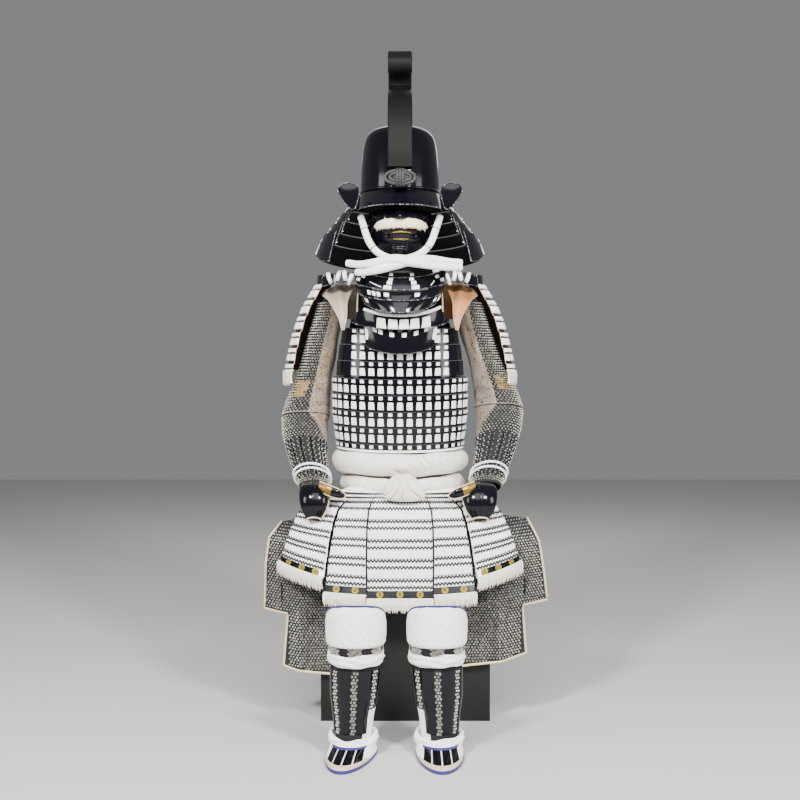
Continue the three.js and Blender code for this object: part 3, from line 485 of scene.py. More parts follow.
for name, leg in LEGS.items():
    inner = -leg[0]
    heights = np.array([250, 240, 228, 214, 209, 204, 190, 170, 150, 130, 110, 90, 70, 50, 36])
    # Below the mail the inside of the leg shows the white legging.
    cells_z, cells_a = np.meshgrid(heights[:-1] - 8, ring + 3, indexing="ij")
    shows_white = (np.abs((cells_a * inner) - 84) < 52) & (cells_z < 112)
    shows_white |= np.abs(cells_a) > 128
    new_piece(f"shin_cloth_{name}", shin_at(ring, heights[:, None], leg, -0.6),
              [black_hemp, white_cotton], [f"shin_guard_{name}"], around=True,
              wall=2.2, face_looks=shows_white.astype(int))
    for number, middle in enumerate(SPLINTS):
        width = 17.5 if abs(middle) < 60 else 12
        across = np.linspace(-1, 1, 9)
        z = np.array([207, 205.5, 190, 165, 140, 115, 90, 70, 56, 54])[:, None]
        crown = 2.6 - 1.8 * across ** 2 - np.array([1.6, 0, 0, 0, 0, 0, 0, 0, 0, 1.6])[:, None]
        if middle * inner == 78:
            z = z[:5] * [[1], [1], [1], [0.92], [0.86]]
            crown = crown[:5]
        splint = shin_at(middle + width * across, z, leg, crown)
        new_piece(f"shin_splint_{name}_{number + 1}", splint, black_lacquer, wall=1.8)
    place_a, place_z = staggered(-95, 97, 7.4, 56, 206, 7.6)
    between = np.abs(((place_a + 52) % 52) - 26) > 18.5
    low_inside = (np.abs(place_a * inner - 84) < 54) & (place_z < 116)
    keep = between & ~low_inside
    surface = lambda a, v, leg=leg: shin_at(a, -v, leg, 0.4)
    links(f"shin_mail_{name}", surface, place_a[keep], -place_z[keep], 2.9, 3.2, 1.6, mail_iron)
    # The mail's upper hem shows between the knee pad and the tie, four patches to a leg.
    place_a, place_z = staggered(-92, 94, 5.4, 242, 262, 5.0)
    patch = np.abs(((place_a + 52) % 52) - 26) > 10
    knee_edge = lambda a, v, leg=leg: shin_at(a, -v, leg, 12.0)
    links(f"knee_mail_{name}", knee_edge, place_a[patch], -place_z[patch], 2.6, 2.6, 1.5, mail_iron)
    new_piece(f"knee_hem_{name}", shin_at(np.linspace(-97, 97, 41), np.array([263, 250, 240])[:, None],
                                          leg, 11.6), black_lacquer, wall=1.5)


# ---- Knee pads --------------------------------------------------------------------------------
# Thick white cotton caps above the shins, quilted in diamonds about 14 mm across, with their
# rounded top bound in indigo. They are held by the knee ties.

KNEE = np.array([[355, 64, 34], [352, 65, 47], [346, 66.5, 62], [337, 68, 75], [326, 69, 84],
                 [308, 69, 92], [290, 69, 95], [251, 66, 95]], float)


def knee_at(share_a, z, leg_x, crown):
    """The pad at a height, from -1 to 1 of its reach round the knee: a circle, raised by the
    quilting."""
    half, reach = (np.interp(z, KNEE[::-1, 0], KNEE[::-1, k]) for k in (1, 2))
    return around(share_a * reach, half + crown, half + crown, z, SHIN_Y, leg_x)


for name, (_, leg_x, _) in LEGS.items():
    share = np.linspace(-1, 1, 73)
    z = np.concatenate([[355.2], np.linspace(354, 264, 46), [261.5, 260]])[:, None]
    arc = share * np.interp(z, KNEE[::-1, 0], KNEE[::-1, 2]) * 1.2
    quilt = np.minimum(np.abs(np.sin((arc + z) * math.pi / 20)), np.abs(np.sin((arc - z) * math.pi / 20)))
    ends = np.minimum(1, (356 - z) / 6) * np.minimum(1, (z - 259) / 6)
    edge = np.minimum(1, (1 - np.abs(share)) / 0.05) * ends
    crown = 1.6 * quilt ** 0.6 * edge + 4.4 * edge ** 0.5 - 2.6
    pad = new_piece(f"knee_quilt_{name}", knee_at(share, z, leg_x, crown), white_cotton,
                    [f"knee_pad_{name}"], wall=8)
    # The binding follows the pad's top edge from one side to the other.
    edge_z = np.concatenate([KNEE[4:0:-1, 0], [355.5], [355.5], KNEE[1:5, 0]])
    edge_a = np.concatenate([-KNEE[4:0:-1, 2], [-30], [30], KNEE[1:5, 2]])
    edge_r = np.interp(edge_z, KNEE[::-1, 0], KNEE[::-1, 1])
    route = smooth_line(around(edge_a, edge_r, edge_r, edge_z + 1, SHIN_Y, leg_x), 61)
    new_piece(f"knee_binding_{name}", tube(route, 2.6, 2.6, 8, route - [leg_x, SHIN_Y, 300]),
              indigo_cloth, around=True, poles=True)


# ---- Knee and ankle ties ----------------------------------------------------------------------
# Bands of soft white cotton wound tightly over the guard and knotted. Their edges wander and
# the cloth gathers into lengthwise creases.

TIES = {"knee_tie": (231, 61, 15, 0, 3), "ankle_tie": (40, 53, 12, 6, 8)}
for tie, (tie_z, radius, high, inset, lower) in TIES.items():
    for name, (side, leg_x, _) in LEGS.items():
        turn = np.linspace(-180, 180, 97)[:-1]
        x = leg_x + side * inset
        sway = 1.6 * np.sin(np.radians(turn * 2 + 40 * side)) + 1.0 * np.sin(np.radians(turn * 5))
        route = around(turn, radius, radius - 2, tie_z - lower * np.cos(np.radians(turn)) + sway,
                       SHIN_Y, x)
        tall = high * (1 + 0.07 * np.sin(np.radians(turn * 7 + 30)) + 0.05 * np.sin(np.radians(turn * 3)))
        rings = tube(route, 6, tall, 28, route - [x, SHIN_Y, tie_z], closed=True)
        angle = np.linspace(0, 2 * np.pi, 28, endpoint=False)[None, :, None]
        twist = np.append(turn, 180)[:, None, None]
        sway = 2 * np.sin(np.radians(twist * 4)) + np.radians(twist * 2)
        crease = 1.9 * np.sin(angle * 5 + sway) * np.cos(angle)
        out = rings - np.append(route, route[:1], 0)[:, None]
        out[..., 2] = 0
        rings = rings + crease * out / np.maximum(np.linalg.norm(out, axis=-1, keepdims=True), 1)
        new_piece(f"{tie}_band_{name}", rings, white_cotton, [f"{tie}_{name}"],
                  around=True, poles=True, sharp=80)


# ---- Thigh apron ------------------------------------------------------------------------------
# Two panels of lined black cloth, each with mail links sewn on it and a cream-gold cord round
# its border. They hang from the waist over the front of the chest and turn back at its sides.

# From the band down, for each panel: height at the outer edge, how much lower the inner edge
# is, and both edges' distance from the middle.
APRON = {
    "left": (-1, [[562, 0, 2, 150], [530, 0, 12, 215], [506, 0, 24, 312], [468, 2, 34, 342],
                  [400, 8, 42, 352], [279, 24, 50, 356], [277, 24, 50, 289], [210, 26, 56, 295],
                  [141, 26, 66, 301]]),
    "right": (1, [[562, 0, 2, 150], [534, 0, 12, 228], [510, 0, 24, 340], [453, 4, 34, 367],
                  [380, 10, 42, 380], [296, 22, 50, 391], [294, 22, 50, 319], [230, 26, 56, 324],
                  [167, 28, 66, 329]]),
}


def smooth(share):
    share = np.clip(share, 0, 1)
    return share * share * (3 - 2 * share)


def apron_at(x, z, out=0.0):
    """The apron lies just before the chest, turns back past the chest's front corners, and
    leans back to the waist. Soft upright folds deepen from the waist down."""
    above = smooth((z - 462) / 90)
    beside = 90 * np.maximum(0, (np.abs(x) - 254) / 102) ** 1.1
    fold = (np.sin(x / 21 + z / 130) + 0.6 * np.sin(x / 9.5 - z / 60 + 1.3) + 0.5 * np.sin(x / 37 + 2))
    crease = 0.7 * np.sin(z / 11 + 2.2 * np.sin(x / 26)) * smooth((420 - z) / 120)
    deep = 0.4 + 1.2 * smooth((520 - z) / 300)
    y = beside - 182 + ((90 * (x / 300) ** 4 - 128) - (beside - 182)) * above
    return np.stack(np.broadcast_arrays(x, y - deep * (fold + 1.6) - crease - out, z), -1)


def between_rows(rows, counts):
    """Rows of a table with extra rows between them by straight lines."""
    rows = np.asarray(rows, float)
    parts = [rows[i] + (rows[i + 1] - rows[i]) * np.linspace(0, 1, count, endpoint=False)[:, None]
             for i, count in enumerate(counts)]
    return np.concatenate([*parts, rows[-1:]])


def area_of(grid):
    """Half the length of the cross products of each cell's diagonals, summed, in square
    metres."""
    one = grid[1:, 1:] - grid[:-1, :-1]
    two = grid[1:, :-1] - grid[:-1, 1:]
    return np.linalg.norm(np.cross(one, two), axis=-1).sum() / 2e6


def cut_of(grid):
    """The cut of a hung cloth, from its grid in mm: the longest row by the longest column, and
    the area, in metres and square metres."""
    across = np.linalg.norm(np.diff(grid, axis=1), axis=-1).sum(1).max() / 1000
    down = np.linalg.norm(np.diff(grid, axis=0), axis=-1).sum(0).max() / 1000
    return (across, down), min(area_of(grid), across * down)


# Silk and gold thread wound on a cord: pale yellow with a dull metal glint.
gold_cord, shader = new_material("gold_wound_cord", "#dcc79a", 0.5)
place = place_on(gold_cord)
wound = add(gold_cord, "TexNoise", {"Vector": place, "Scale": 500.0, "Detail": 2.0})
tinted(gold_cord, shader, wound.outputs["Fac"], "#b99d68", "#f0e2bd")

for name, (side, table) in APRON.items():
    rows = between_rows(table, (4, 4, 6, 8, 14, 1, 8, 8))
    share = np.linspace(0, 1, 61) if side > 0 else np.linspace(1, 0, 61)
    x = side * (rows[:, 2:3] + (rows[:, 3:4] - rows[:, 2:3]) * share)
    z = rows[:, 0:1] - rows[:, 1:2] * (1 - share)
    grid = apron_at(x, z)
    panel = new_piece(f"thigh_apron_cloth_{name}", grid, black_hemp,
                      [f"thigh_apron_{name}"], wall=2)
    # Links cover the panel below the skirt, right up to its border.
    link_x, link_z = staggered(16, 395, 8.0, 140, 532, 7.0)
    low = link_z + np.interp(link_z, rows[::-1, 0], rows[::-1, 1])
    inner = np.interp(low, rows[::-1, 0], rows[::-1, 2])
    outer = np.interp(low, rows[::-1, 0], rows[::-1, 3])
    foot = table[-1][0] - table[-1][1] * (outer - link_x) / (outer - inner)
    step_z = table[5][0]
    beyond = (link_z < step_z + 4) & (link_x > table[6][3] - 5)
    behind_skirt = (link_z > 400) & (link_x < 250) | (link_z > 350) & (link_x < 150)
    keep = (link_x > inner + 6) & (link_x < outer - 5) & (link_z > foot + 5) & ~beyond & ~behind_skirt
    surface = lambda u, v: apron_at(u, -v)
    mail = links(f"thigh_mail_{name}", surface, side * link_x[keep], -link_z[keep], 2.9, 2.9, 1.7,
                 mail_iron)
    # The border cord goes down the outer edge over its step, along the foot and up inside.
    edge = np.concatenate([grid[8:, -1 if side > 0 else 0],
                           grid[-1, ::-1][1:-1] if side > 0 else grid[-1, 1:-1],
                           grid[:4:-1, 0 if side > 0 else -1]])
    cord = new_piece(f"apron_border_{name}", tube(edge - [0, 1, 0], 2.4, 3.1, 6, (0, -1, 0)),
                     gold_cord, around=True, poles=True)
    # Short black ties hang down over the mail: x and z of their tops.
    for number, (tie_x, tie_z) in enumerate(((306, 352), (200, 347)) if side < 0 else ((325, 362),)):
        route = apron_at(np.full(9, side * tie_x), tie_z - np.linspace(0, 44, 9), 3.2)
        new_piece(f"apron_tie_{name}_{number + 1}", tube(route, 1.4, 2.4, 8, (0, -1, 0)), black_hemp,
                  around=True, poles=True)
    flat, area = cut_of(grid)


# ---- Cuirass ----------------------------------------------------------------------------------
# Lames of lacquered rawhide scales, laced one under the other. White silk braid runs in pairs
# over each lame: a small square of braid above, and a tall block that reaches the next lame.

BODY = np.array([[1046, 150, 120], [1019, 158, 125], [950, 172, 133], [889, 179, 137],
                 [800, 180, 136], [699, 168, 126]], float)
LAME_HIGH = 42.5
LAME_STEP = 2.0  # how far a lame stands over the one above


def body_at(angle, z, out=0.0):
    """The cuirass at a height: a ring with square 2.3, whose widths are read from the height,
    and which hangs 7 mm lower at the middle of the front, by the square of the cosine."""
    half, deep = (np.interp(z, BODY[::-1, 0], BODY[::-1, k]) + out for k in (1, 2))
    sag = 7 * np.maximum(0, np.cos(np.radians(angle))) ** 2
    return around(angle, half, deep, z - sag, square=2.3)


def blocks(name, surface, places, half_u, half_v, height, look):
    """Pads of lacing braid lying on a surface. Each covers half_u either side across it at the
    top and as much at the foot, and half_v up and down it, and its two strands are two low
    ridges: rise = height (0.55 + 0.45 |sin(pi u)|) inside the pad, and 0 on its edge.
    A place is (u, v, half_u at the top, half_u at the foot, half_v)."""
    u, v, top, foot, tall = (np.asarray(column, float)[:, None, None] for column in places)
    s = np.array([-1, -0.88, -0.5, -0.06, 0.06, 0.5, 0.88, 1])[None, None, :]
    t = np.array([1, 0.9, 0.3, -0.3, -0.9, -1])[None, :, None]
    wide = ((top + foot) / 2 + (top - foot) / 2 * t) * np.where(t > 0.95, 0.62, 1)
    at_u, at_v = u + s * wide * half_u, v - t * tall * half_v
    ridge = np.sqrt(np.clip(1 - (2 * np.abs(np.abs(s) - 0.5)) ** 2, 0, 1))
    rise = height * (0.45 + 0.55 * ridge) * (np.abs(s) < 0.95) * (np.abs(t) < 0.95) - 0.4
    near = surface(at_u, at_v)
    across = surface(at_u + 0.01, at_v) - near
    down = surface(at_u, at_v + 0.01) - near
    proud = np.cross(down, across)
    proud /= np.linalg.norm(proud, axis=-1, keepdims=True)
    return new_piece(name, near + rise[..., None] * proud, look, sharp=60)


# Flat silk braid, 13 threads wide: white with a soft sheen, its strands crossing slantwise
# about 1.5 mm apart.
silk_braid, shader = new_material("white_silk_braid", "#f0eeea", 0.6, Sheen_Weight=0.4,
                                  Sheen_Roughness=0.4)
place = place_on(silk_braid)
threads = add(silk_braid, "TexVoronoi", {"Vector": place, "Scale": 420.0})
soiled = add(silk_braid, "TexNoise", {"Vector": place, "Scale": 22.0, "Detail": 3.0})
tinted(silk_braid, shader, soiled.outputs["Fac"], "#e6e4de", "#fdfcfa")
raised(silk_braid, shader, threads.outputs["Distance"], 0.5, 0.0008)


def lame_at(angle, z, top, bottom):
    """The lames between two heights: each stands out LAME_STEP at its top edge and leans in
    evenly to nothing at its lower edge."""
    down = np.clip(top - z, 0, top - bottom - 0.01)
    share = (down % LAME_HIGH) / np.minimum(LAME_HIGH, top - bottom - down // LAME_HIGH * LAME_HIGH)
    return body_at(angle, z, LAME_STEP * (1 - np.clip(share, 0, 1)))


def lame_rows(top, bottom):
    """Heights from the top to the bottom edge, five to a lame, with the step between two lames
    a tenth of a millimetre high."""
    rows = []
    edge = top
    while edge > bottom + 5:
        foot = max(edge - LAME_HIGH, bottom)
        rows += [edge - (edge - foot) * share for share in (0, 0.06, 0.35, 0.65, 0.94)] + [foot + 0.1]
        edge -= LAME_HIGH
    return np.array(rows)[:, None]


CUIRASS = {
    "cuirass_front_waist": (888.5, 699, 0, 89.7),
    "cuirass_back_waist": (888.5, 699, 180, 89.7),
    "cuirass_front_chest": (1019, 889.4, 0, 70),
    "cuirass_back_chest": (1046, 889.4, 180, 60),
}
LACING_PITCH = 25.0

# Angles against lengths along the ring, both from its middle, on a ring with a half width
# of 1 and a half depth of 0.77.
fine = np.linspace(-90, 90, 721)
unit_ring = around(fine, 1.0, 0.77, 0.0, square=2.3)
unit_length = np.append(0, np.linalg.norm(np.diff(unit_ring, axis=0), axis=1).cumsum())
unit_length -= unit_length[360]

for name, (top, bottom, middle, reach) in CUIRASS.items():
    angles = np.linspace(middle - reach, middle + reach, 73)
    new_piece(f"{name}_lames", lame_at(angles, lame_rows(top, bottom), top, bottom), black_lacquer,
              [name], wall=2, sharp=30)

    def laced_at(along, v, top=top, bottom=bottom, middle=middle):
        """The lames at a length in mm round from the middle, so that columns hang plumb."""
        half_width = np.interp(-v, BODY[::-1, 0], BODY[::-1, 1])
        return lame_at(middle + np.interp(along / half_width, unit_length, fine), -v, top, bottom)

    reach_mm = np.interp(reach, fine, unit_length) * BODY[1 if top > 900 else 3, 1]
    margin = 34 if "chest" in name else 8
    count = int((reach_mm - margin) // LACING_PITCH)
    columns = np.arange(-count, count + 1) * LACING_PITCH
    places, lines = [], []
    for number in range(math.ceil((top - bottom - 5) / LAME_HIGH)):
        edge = top - LAME_HIGH * number
        lines.append(edge - 1.2)
        places += [(column, 8.0 - edge, 5.3, 5.5, 4.4) for column in columns]
        if edge - bottom > 36:
            places += [(column, 28.4 - edge, 7.4, 8.5, 10.0) for column in columns]
    blocks(f"{name}_lacing", laced_at, np.array(places).T, 1, 1, 2.8, silk_braid)
    # Black silk ties run along each lame's upper edge, and a white cloth binds the waist's
    # hem, over a serrated row of black stitches.
    for number, z in enumerate(lines):
        route = lame_at(angles, np.full(len(angles), z), top, bottom)
        new_piece(f"{name}_tie_line_{number + 1}", tube(route, 1.4, 1.1, 6, route * [1, 1, 0]),
                  black_cord, around=True, poles=True)
    if "waist" in name:
        route = body_at(angles, np.full(len(angles), bottom + 0.5), 0.6)
        new_piece(f"{name}_hem", tube(route, 2.2, 3.2, 8, route * [1, 1, 0]), white_cotton,
                  around=True, poles=True)
        stitch = np.arange(-reach_mm + 3, reach_mm - 2, 6.2)
        places = np.array([(at, 5.4 - bottom - 9.6, 1.3, 2.4, 1.9) for at in stitch]).T
        blocks(f"{name}_hem_stitches", laced_at, places, 1, 1, 1.4, black_cord)


# ---- Shoulder straps --------------------------------------------------------------------------
# Padded leather straps from the back of the cuirass over the bar to its front, lacquered black
# and edged with a rolled cord.

STRAP = np.array([[121, 1049], [108, 1088], [70, 1122], [10, 1133], [-58, 1113], [-98, 1068],
                  [-114, 1022]], float)
for name, side in (("left", -1), ("right", 1)):
    route = smooth_line(np.stack([np.full(7, side * 92.0), STRAP[:, 0], STRAP[:, 1]], -1), 49)
    along = np.gradient(route, axis=0)
    up = np.stack([np.zeros(49), -along[:, 2], along[:, 1]], -1)
    up *= -1 / np.linalg.norm(up, axis=1, keepdims=True)
    across = np.linspace(-1, 1, 9)
    crown = 1.4 * (1 - across ** 4)
    grid = route[:, None] + across[None, :, None] * [20, 0, 0] + crown[None, :, None] * up[:, None]
    new_piece(f"strap_leather_{name}", grid, black_lacquer, [f"shoulder_strap_{name}"],
              wall=3)
    for edge_name, shift in (("inner", -side * 19.5), ("outer", side * 19.5)):
        edge = tube(route + [shift, 0, 0] + up * 0.6, 1.5, 1.7, 8, up)
        new_piece(f"strap_edge_{edge_name}_{name}", edge, gold_cord, around=True, poles=True)


# ---- Sash -------------------------------------------------------------------------------------
# A long strip of padded cream brocade, wound twice round the waist and drawn together in front
# in a flat knot. Two rolls show, one over the other, with soft gathers near the knot.

# Silk brocade: cream ground, with a faint scroll of gold and pink threads along the level lines
# of a turbulent noise, 20 to 35 mm across.
sash_brocade, shader = new_material("cream_sash_brocade", "#e9e0d2", 0.6, Sheen_Weight=0.4)
place = place_on(sash_brocade)
field = add(sash_brocade, "TexNoise", {"Vector": place, "Scale": 42.0, "Detail": 1.0,
                                       "Distortion": 2.2})
off = add(sash_brocade, "Math", {0: field.outputs["Fac"], 1: 0.5}, operation="SUBTRACT")
far = add(sash_brocade, "Math", {0: off.outputs[0]}, operation="ABSOLUTE")
line = add(sash_brocade, "MapRange", {"Value": far.outputs[0], "From Min": 0.024, "From Max": 0.008})
hue = add(sash_brocade, "TexNoise", {"Vector": place, "Scale": 12.0, "Detail": 2.0})
thread = add(sash_brocade, "MapRange", {"Value": hue.outputs["Fac"], "From Min": 0.42,
                                        "From Max": 0.62})
shown = add(sash_brocade, "Math", {0: line.outputs[0], 1: thread.outputs[0]}, operation="MULTIPLY")
ground = add(sash_brocade, "Mix", {"Factor": hue.outputs["Fac"], "A": linear("#ddd0c0"),
                                   "B": linear("#f8f4ed")}, data_type="RGBA")
tint = add(sash_brocade, "Mix", {"Factor": shown.outputs[0], "A": ground.outputs["Result"],
                                 "B": linear("#b08f68")}, data_type="RGBA")
connect(sash_brocade, tint.outputs["Result"], shader.inputs["Base Color"])
ribs = add(sash_brocade, "TexWave", {"Vector": place, "Scale": 300.0, "Distortion": 1.0},
           bands_direction="Z")
raised(sash_brocade, shader, ribs.outputs["Fac"], 0.25, 0.0006)

SASH = {"sash_upper": (160, 126, 664, 25, 31, 0, 1.0), "sash_lower": (145, 129, 605.5, 24, 26, 7, 2.1)}
# Two sharp creases in the upper roll lead down into the knot: x and z of their ends.
CREASES = np.array([[[-50, 668], [2, 636]], [[17, 680], [12, 636]]], float)
for name, (half, deep, z, thick, high, x, start) in SASH.items():
    turn = np.linspace(-180, 180, 181)[:-1]
    front = np.maximum(0, np.cos(np.radians(turn)))
    route = around(turn, half, deep, z - 7 * front ** 2, 0, x)
    # The lower roll is drawn in where it enters the knot.
    drawn = 1 - (0.42 * np.exp(-(turn / 17) ** 2) if name == "sash_lower" else 0)
    rings = tube(route, (thick - 1.5) * (drawn + 0 * turn), (high - 1.5) * (drawn + 0 * turn), 36,
                 route - [x, 0, z], closed=True)
    angle = np.linspace(0, 2 * np.pi, 36, endpoint=False)[None, :, None]
    run = np.radians(np.append(turn, 180))[:, None, None]
    # Gathers: shallow lengthwise creases that swell and fade along the roll, and deepen
    # towards the knot; and a slow lumpiness of the padding.
    near_knot = np.exp(-(np.degrees(run) / 26) ** 2)
    crease = (0.5 + (1.8 if name == "sash_lower" else 0.4) * near_knot) * np.sin(
        angle * 6 + 1.6 * np.sin(run * 5 + start) + start)
    crease += 0.9 * np.sin(angle * 3 - run * 4 + start) + 0.9 * np.sin(run * 9 + angle + start)
    for (x0, z0), (x1, z1) in CREASES:
        share = np.clip(((rings[..., 0] - x0) * (x1 - x0) + (rings[..., 2] - z0) * (z1 - z0))
                        / ((x1 - x0) ** 2 + (z1 - z0) ** 2), 0, 1)
        far = np.hypot(rings[..., 0] - x0 - share * (x1 - x0), rings[..., 2] - z0 - share * (z1 - z0))
        groove = 4.5 * share ** 0.5 * np.exp(-(far / 3.2) ** 2) * (rings[..., 1] < -100)
        crease = crease - (groove[..., None] if name == "sash_upper" else 0)
    centre = np.append(route, route[:1], 0)[:, None]
    out = (rings - centre) / np.linalg.norm(rings - centre, axis=-1, keepdims=True)
    rings = rings + np.clip(crease, -6, 2.2) * out
    roll = new_piece(f"{name}_roll", rings, sash_brocade, [name], around=True,
                     poles=True, sharp=80)

# The knot: the strip comes down over the rolls, is tucked under them, and spreads below in a
# fan of folds. Its half width grows as t^0.65 (1 - t^5), t being the share of the way down,
# and the folds are V-shaped grooves that run out from its top.
tilt = np.radians(np.linspace(2, 178, 81))[:, None]
turn = np.linspace(-180, 180, 193)[:-1]
t = np.degrees(tilt) / 180
wide = 54 * t ** 0.65 * (1 - t ** 5) / 0.67
points = around(turn, wide, 21.5 * np.sin(tilt) ** 0.7, 604 + 35 * np.cos(tilt), -186, 6 + 8 * t, 2.2)
away = np.arctan2(points[..., 2] - 642, points[..., 0] - 7)
distance = np.hypot(points[..., 2] - 642, points[..., 0] - 7)
is_front = smooth((-186 - points[..., 1]) / 10)
groove = 0
for fold_angle in (-2.75, -2.3, -1.9, -1.5, -1.08, -0.62, -0.3):
    bend = fold_angle + 0.12 * np.sin(distance / 13 + 4 * fold_angle)
    across_fold = distance * np.sin(np.clip(away - bend, -1.5, 1.5))
    groove = groove + np.exp(-(across_fold / 2.9) ** 2)
fan = 9.0 * groove * smooth(distance / 14) - 1.6 * np.abs(np.sin(away * 4 + 1))
points[..., 1] += fan * is_front + 0.5
knot = new_piece("sash_knot_pad", points, sash_brocade, ["sash_knot"], around=True,
                 poles=True, sharp=80)


# ---- Skirt of tassets -------------------------------------------------------------------------
# Seven panels hang from the cuirass, each of five lames under close lacing: the white braid
# covers them in upright strands, and dark silk marks each lame's edge with a zig-zag. The
# last lame is bare, with gold rosettes, and is edged with ivory fur.

BELL = np.array([[0, 232, 169, 150], [0.12, 270, 184, 176], [0.3, 290, 206, 200],
                 [0.6, 311, 238, 228], [1, 331, 275, 262]], float)
SKIRT_TOP_Z = 571
SKIRT_LAMES = 5
SKIRT_LAME_HIGH = 46.0
ROSETTE_RADIUS = 9.5
# Each panel's two sides at its top and foot, as shares of the bell's half width, the heights
# of its lower edge's two ends, and whether it hangs behind.
TASSETS = {
    "tasset_front": ((-0.3, 0.3), (-0.245, 0.245), (337, 337), False, 3),
    "tasset_front_left": ((-0.58, -0.31), (-0.565, -0.252), (352, 346), False, 2),
    "tasset_front_right": ((0.31, 0.58), (0.252, 0.565), (346, 352), False, 2),
    "tasset_side_left": ((-0.925, -0.59), (-0.925, -0.573), (418, 388), False, 3),
    "tasset_side_right": ((0.59, 0.925), (0.573, 0.925), (388, 418), False, 3),
    "tasset_back_left": ((-0.02, -0.62), (-0.02, -0.6), (388, 396), True, 3),
    "tasset_back_right": ((0.62, 0.02), (0.6, 0.02), (396, 388), True, 3),
}


def skirt_at(across, share, panel, out=0.0, drop=0.0):
    """The skirt's bell: a ring with square 3.4 whose widths are read from the share of the way
    down. `across` runs from 0 to 1 between the panel's two sides."""
    top, foot, end_z, behind, _ = panel
    inside = (top[0] + (top[1] - top[0]) * across) * (1 - share)
    sideways = inside + (foot[0] + (foot[1] - foot[0]) * across) * share
    turn = np.degrees(np.arcsin(np.abs(sideways) ** 1.7)) * np.sign(sideways)
    half = np.interp(share, BELL[:, 0], BELL[:, 1]) + out
    deep = np.interp(share, BELL[:, 0], BELL[:, 3 if behind else 2]) + out
    bottom = end_z[0] + (end_z[1] - end_z[0]) * across
    z = SKIRT_TOP_Z + (bottom - SKIRT_TOP_Z) * share - drop
    return around(180 - turn if behind else turn, half, deep, z, square=3.4)


# The dark braid of the zig-zags: black silk.
black_braid, shader = new_material("black_silk_braid", "#16151b", 0.6, Sheen_Weight=0.2)
place = place_on(black_braid)
threads = add(black_braid, "TexVoronoi", {"Vector": place, "Scale": 420.0})
raised(black_braid, shader, threads.outputs["Distance"], 0.5, 0.0008)

# Cast and gilt brass: warm, with bright worn edges.
gilt_brass, shader = new_material("gilt_brass", "#7d6a26", 0.5, Metallic=0.7)
place = place_on(gilt_brass)
worn = add(gilt_brass, "TexNoise", {"Vector": place, "Scale": 180.0, "Detail": 3.0})
tinted(gilt_brass, shader, worn.outputs["Fac"], "#4a3c0e", "#a8903a")

# Bear or goat fur, bleached: each tuft is a thin curved blade.
ivory_fur, shader = new_material("ivory_fur", "#e8e0cc", 0.7, Sheen_Weight=0.5)
place = place_on(ivory_fur)
strands = add(ivory_fur, "TexNoise", {"Vector": place, "Scale": 240.0, "Detail": 2.0})
tinted(ivory_fur, shader, strands.outputs["Fac"], "#cdbf9f", "#fbf8ef")


def tufts(name, root, tip, lift, width, look):
    """Fur as curved blades: from each root to its tip, bulging outwards by `lift` in the
    middle, and tapering as (1 - share^2). Each has two faces, so it shows from both sides."""
    share = np.array([0, 0.3, 0.6, 0.85, 1])[None, :, None]
    line = root[:, None] + (tip - root)[:, None] * share + lift[:, None] * (4 * share * (1 - share))
    side = np.cross(tip - root, lift)
    side /= np.linalg.norm(side, axis=1, keepdims=True)
    wide = width * (1 - share ** 2)
    proud = lift / np.linalg.norm(lift, axis=1, keepdims=True)
    crest = line + proud[:, None] * wide * 0.5
    rings = np.stack([line + side[:, None] * wide, crest, line - side[:, None] * wide], 2)
    return new_piece(name, rings, look, around=True, sharp=80)


def band(points, width, rise, proud):
    """A flat braid along a line, as a five-sided strip: `width` across, its middle raised by
    `rise` along `proud`, and its edges tucked in."""
    along = np.gradient(points, axis=0)
    side = np.cross(proud, along)
    side /= np.linalg.norm(side, axis=1, keepdims=True)
    shares = ((-0.5, -0.4), (-0.42, 0.7), (0, 1.0), (0.42, 0.7), (0.5, -0.4))
    return np.stack([points + side * width * s + proud * rise * t for s, t in shares], 1)


def joined_at(u, share, panel, out=0.0):
    """The white silk strands that join a panel to the cuirass under the sash: from a ring
    inside the sash's lower roll to the panel's top edge. The way out grows as share^1.3, so
    the strands leave the sash steeply."""
    foot = skirt_at(u, 0.0, panel, out + LAME_STEP)
    angle = np.degrees(np.arctan2(foot[..., 0] / 232, -foot[..., 1] / 165))
    top = around(angle, 143 + out, 124 + out, 606.0, square=2.3)
    way = np.stack(np.broadcast_arrays(share ** 1.3, share ** 1.3, share), -1)
    return top + (foot - top) * way


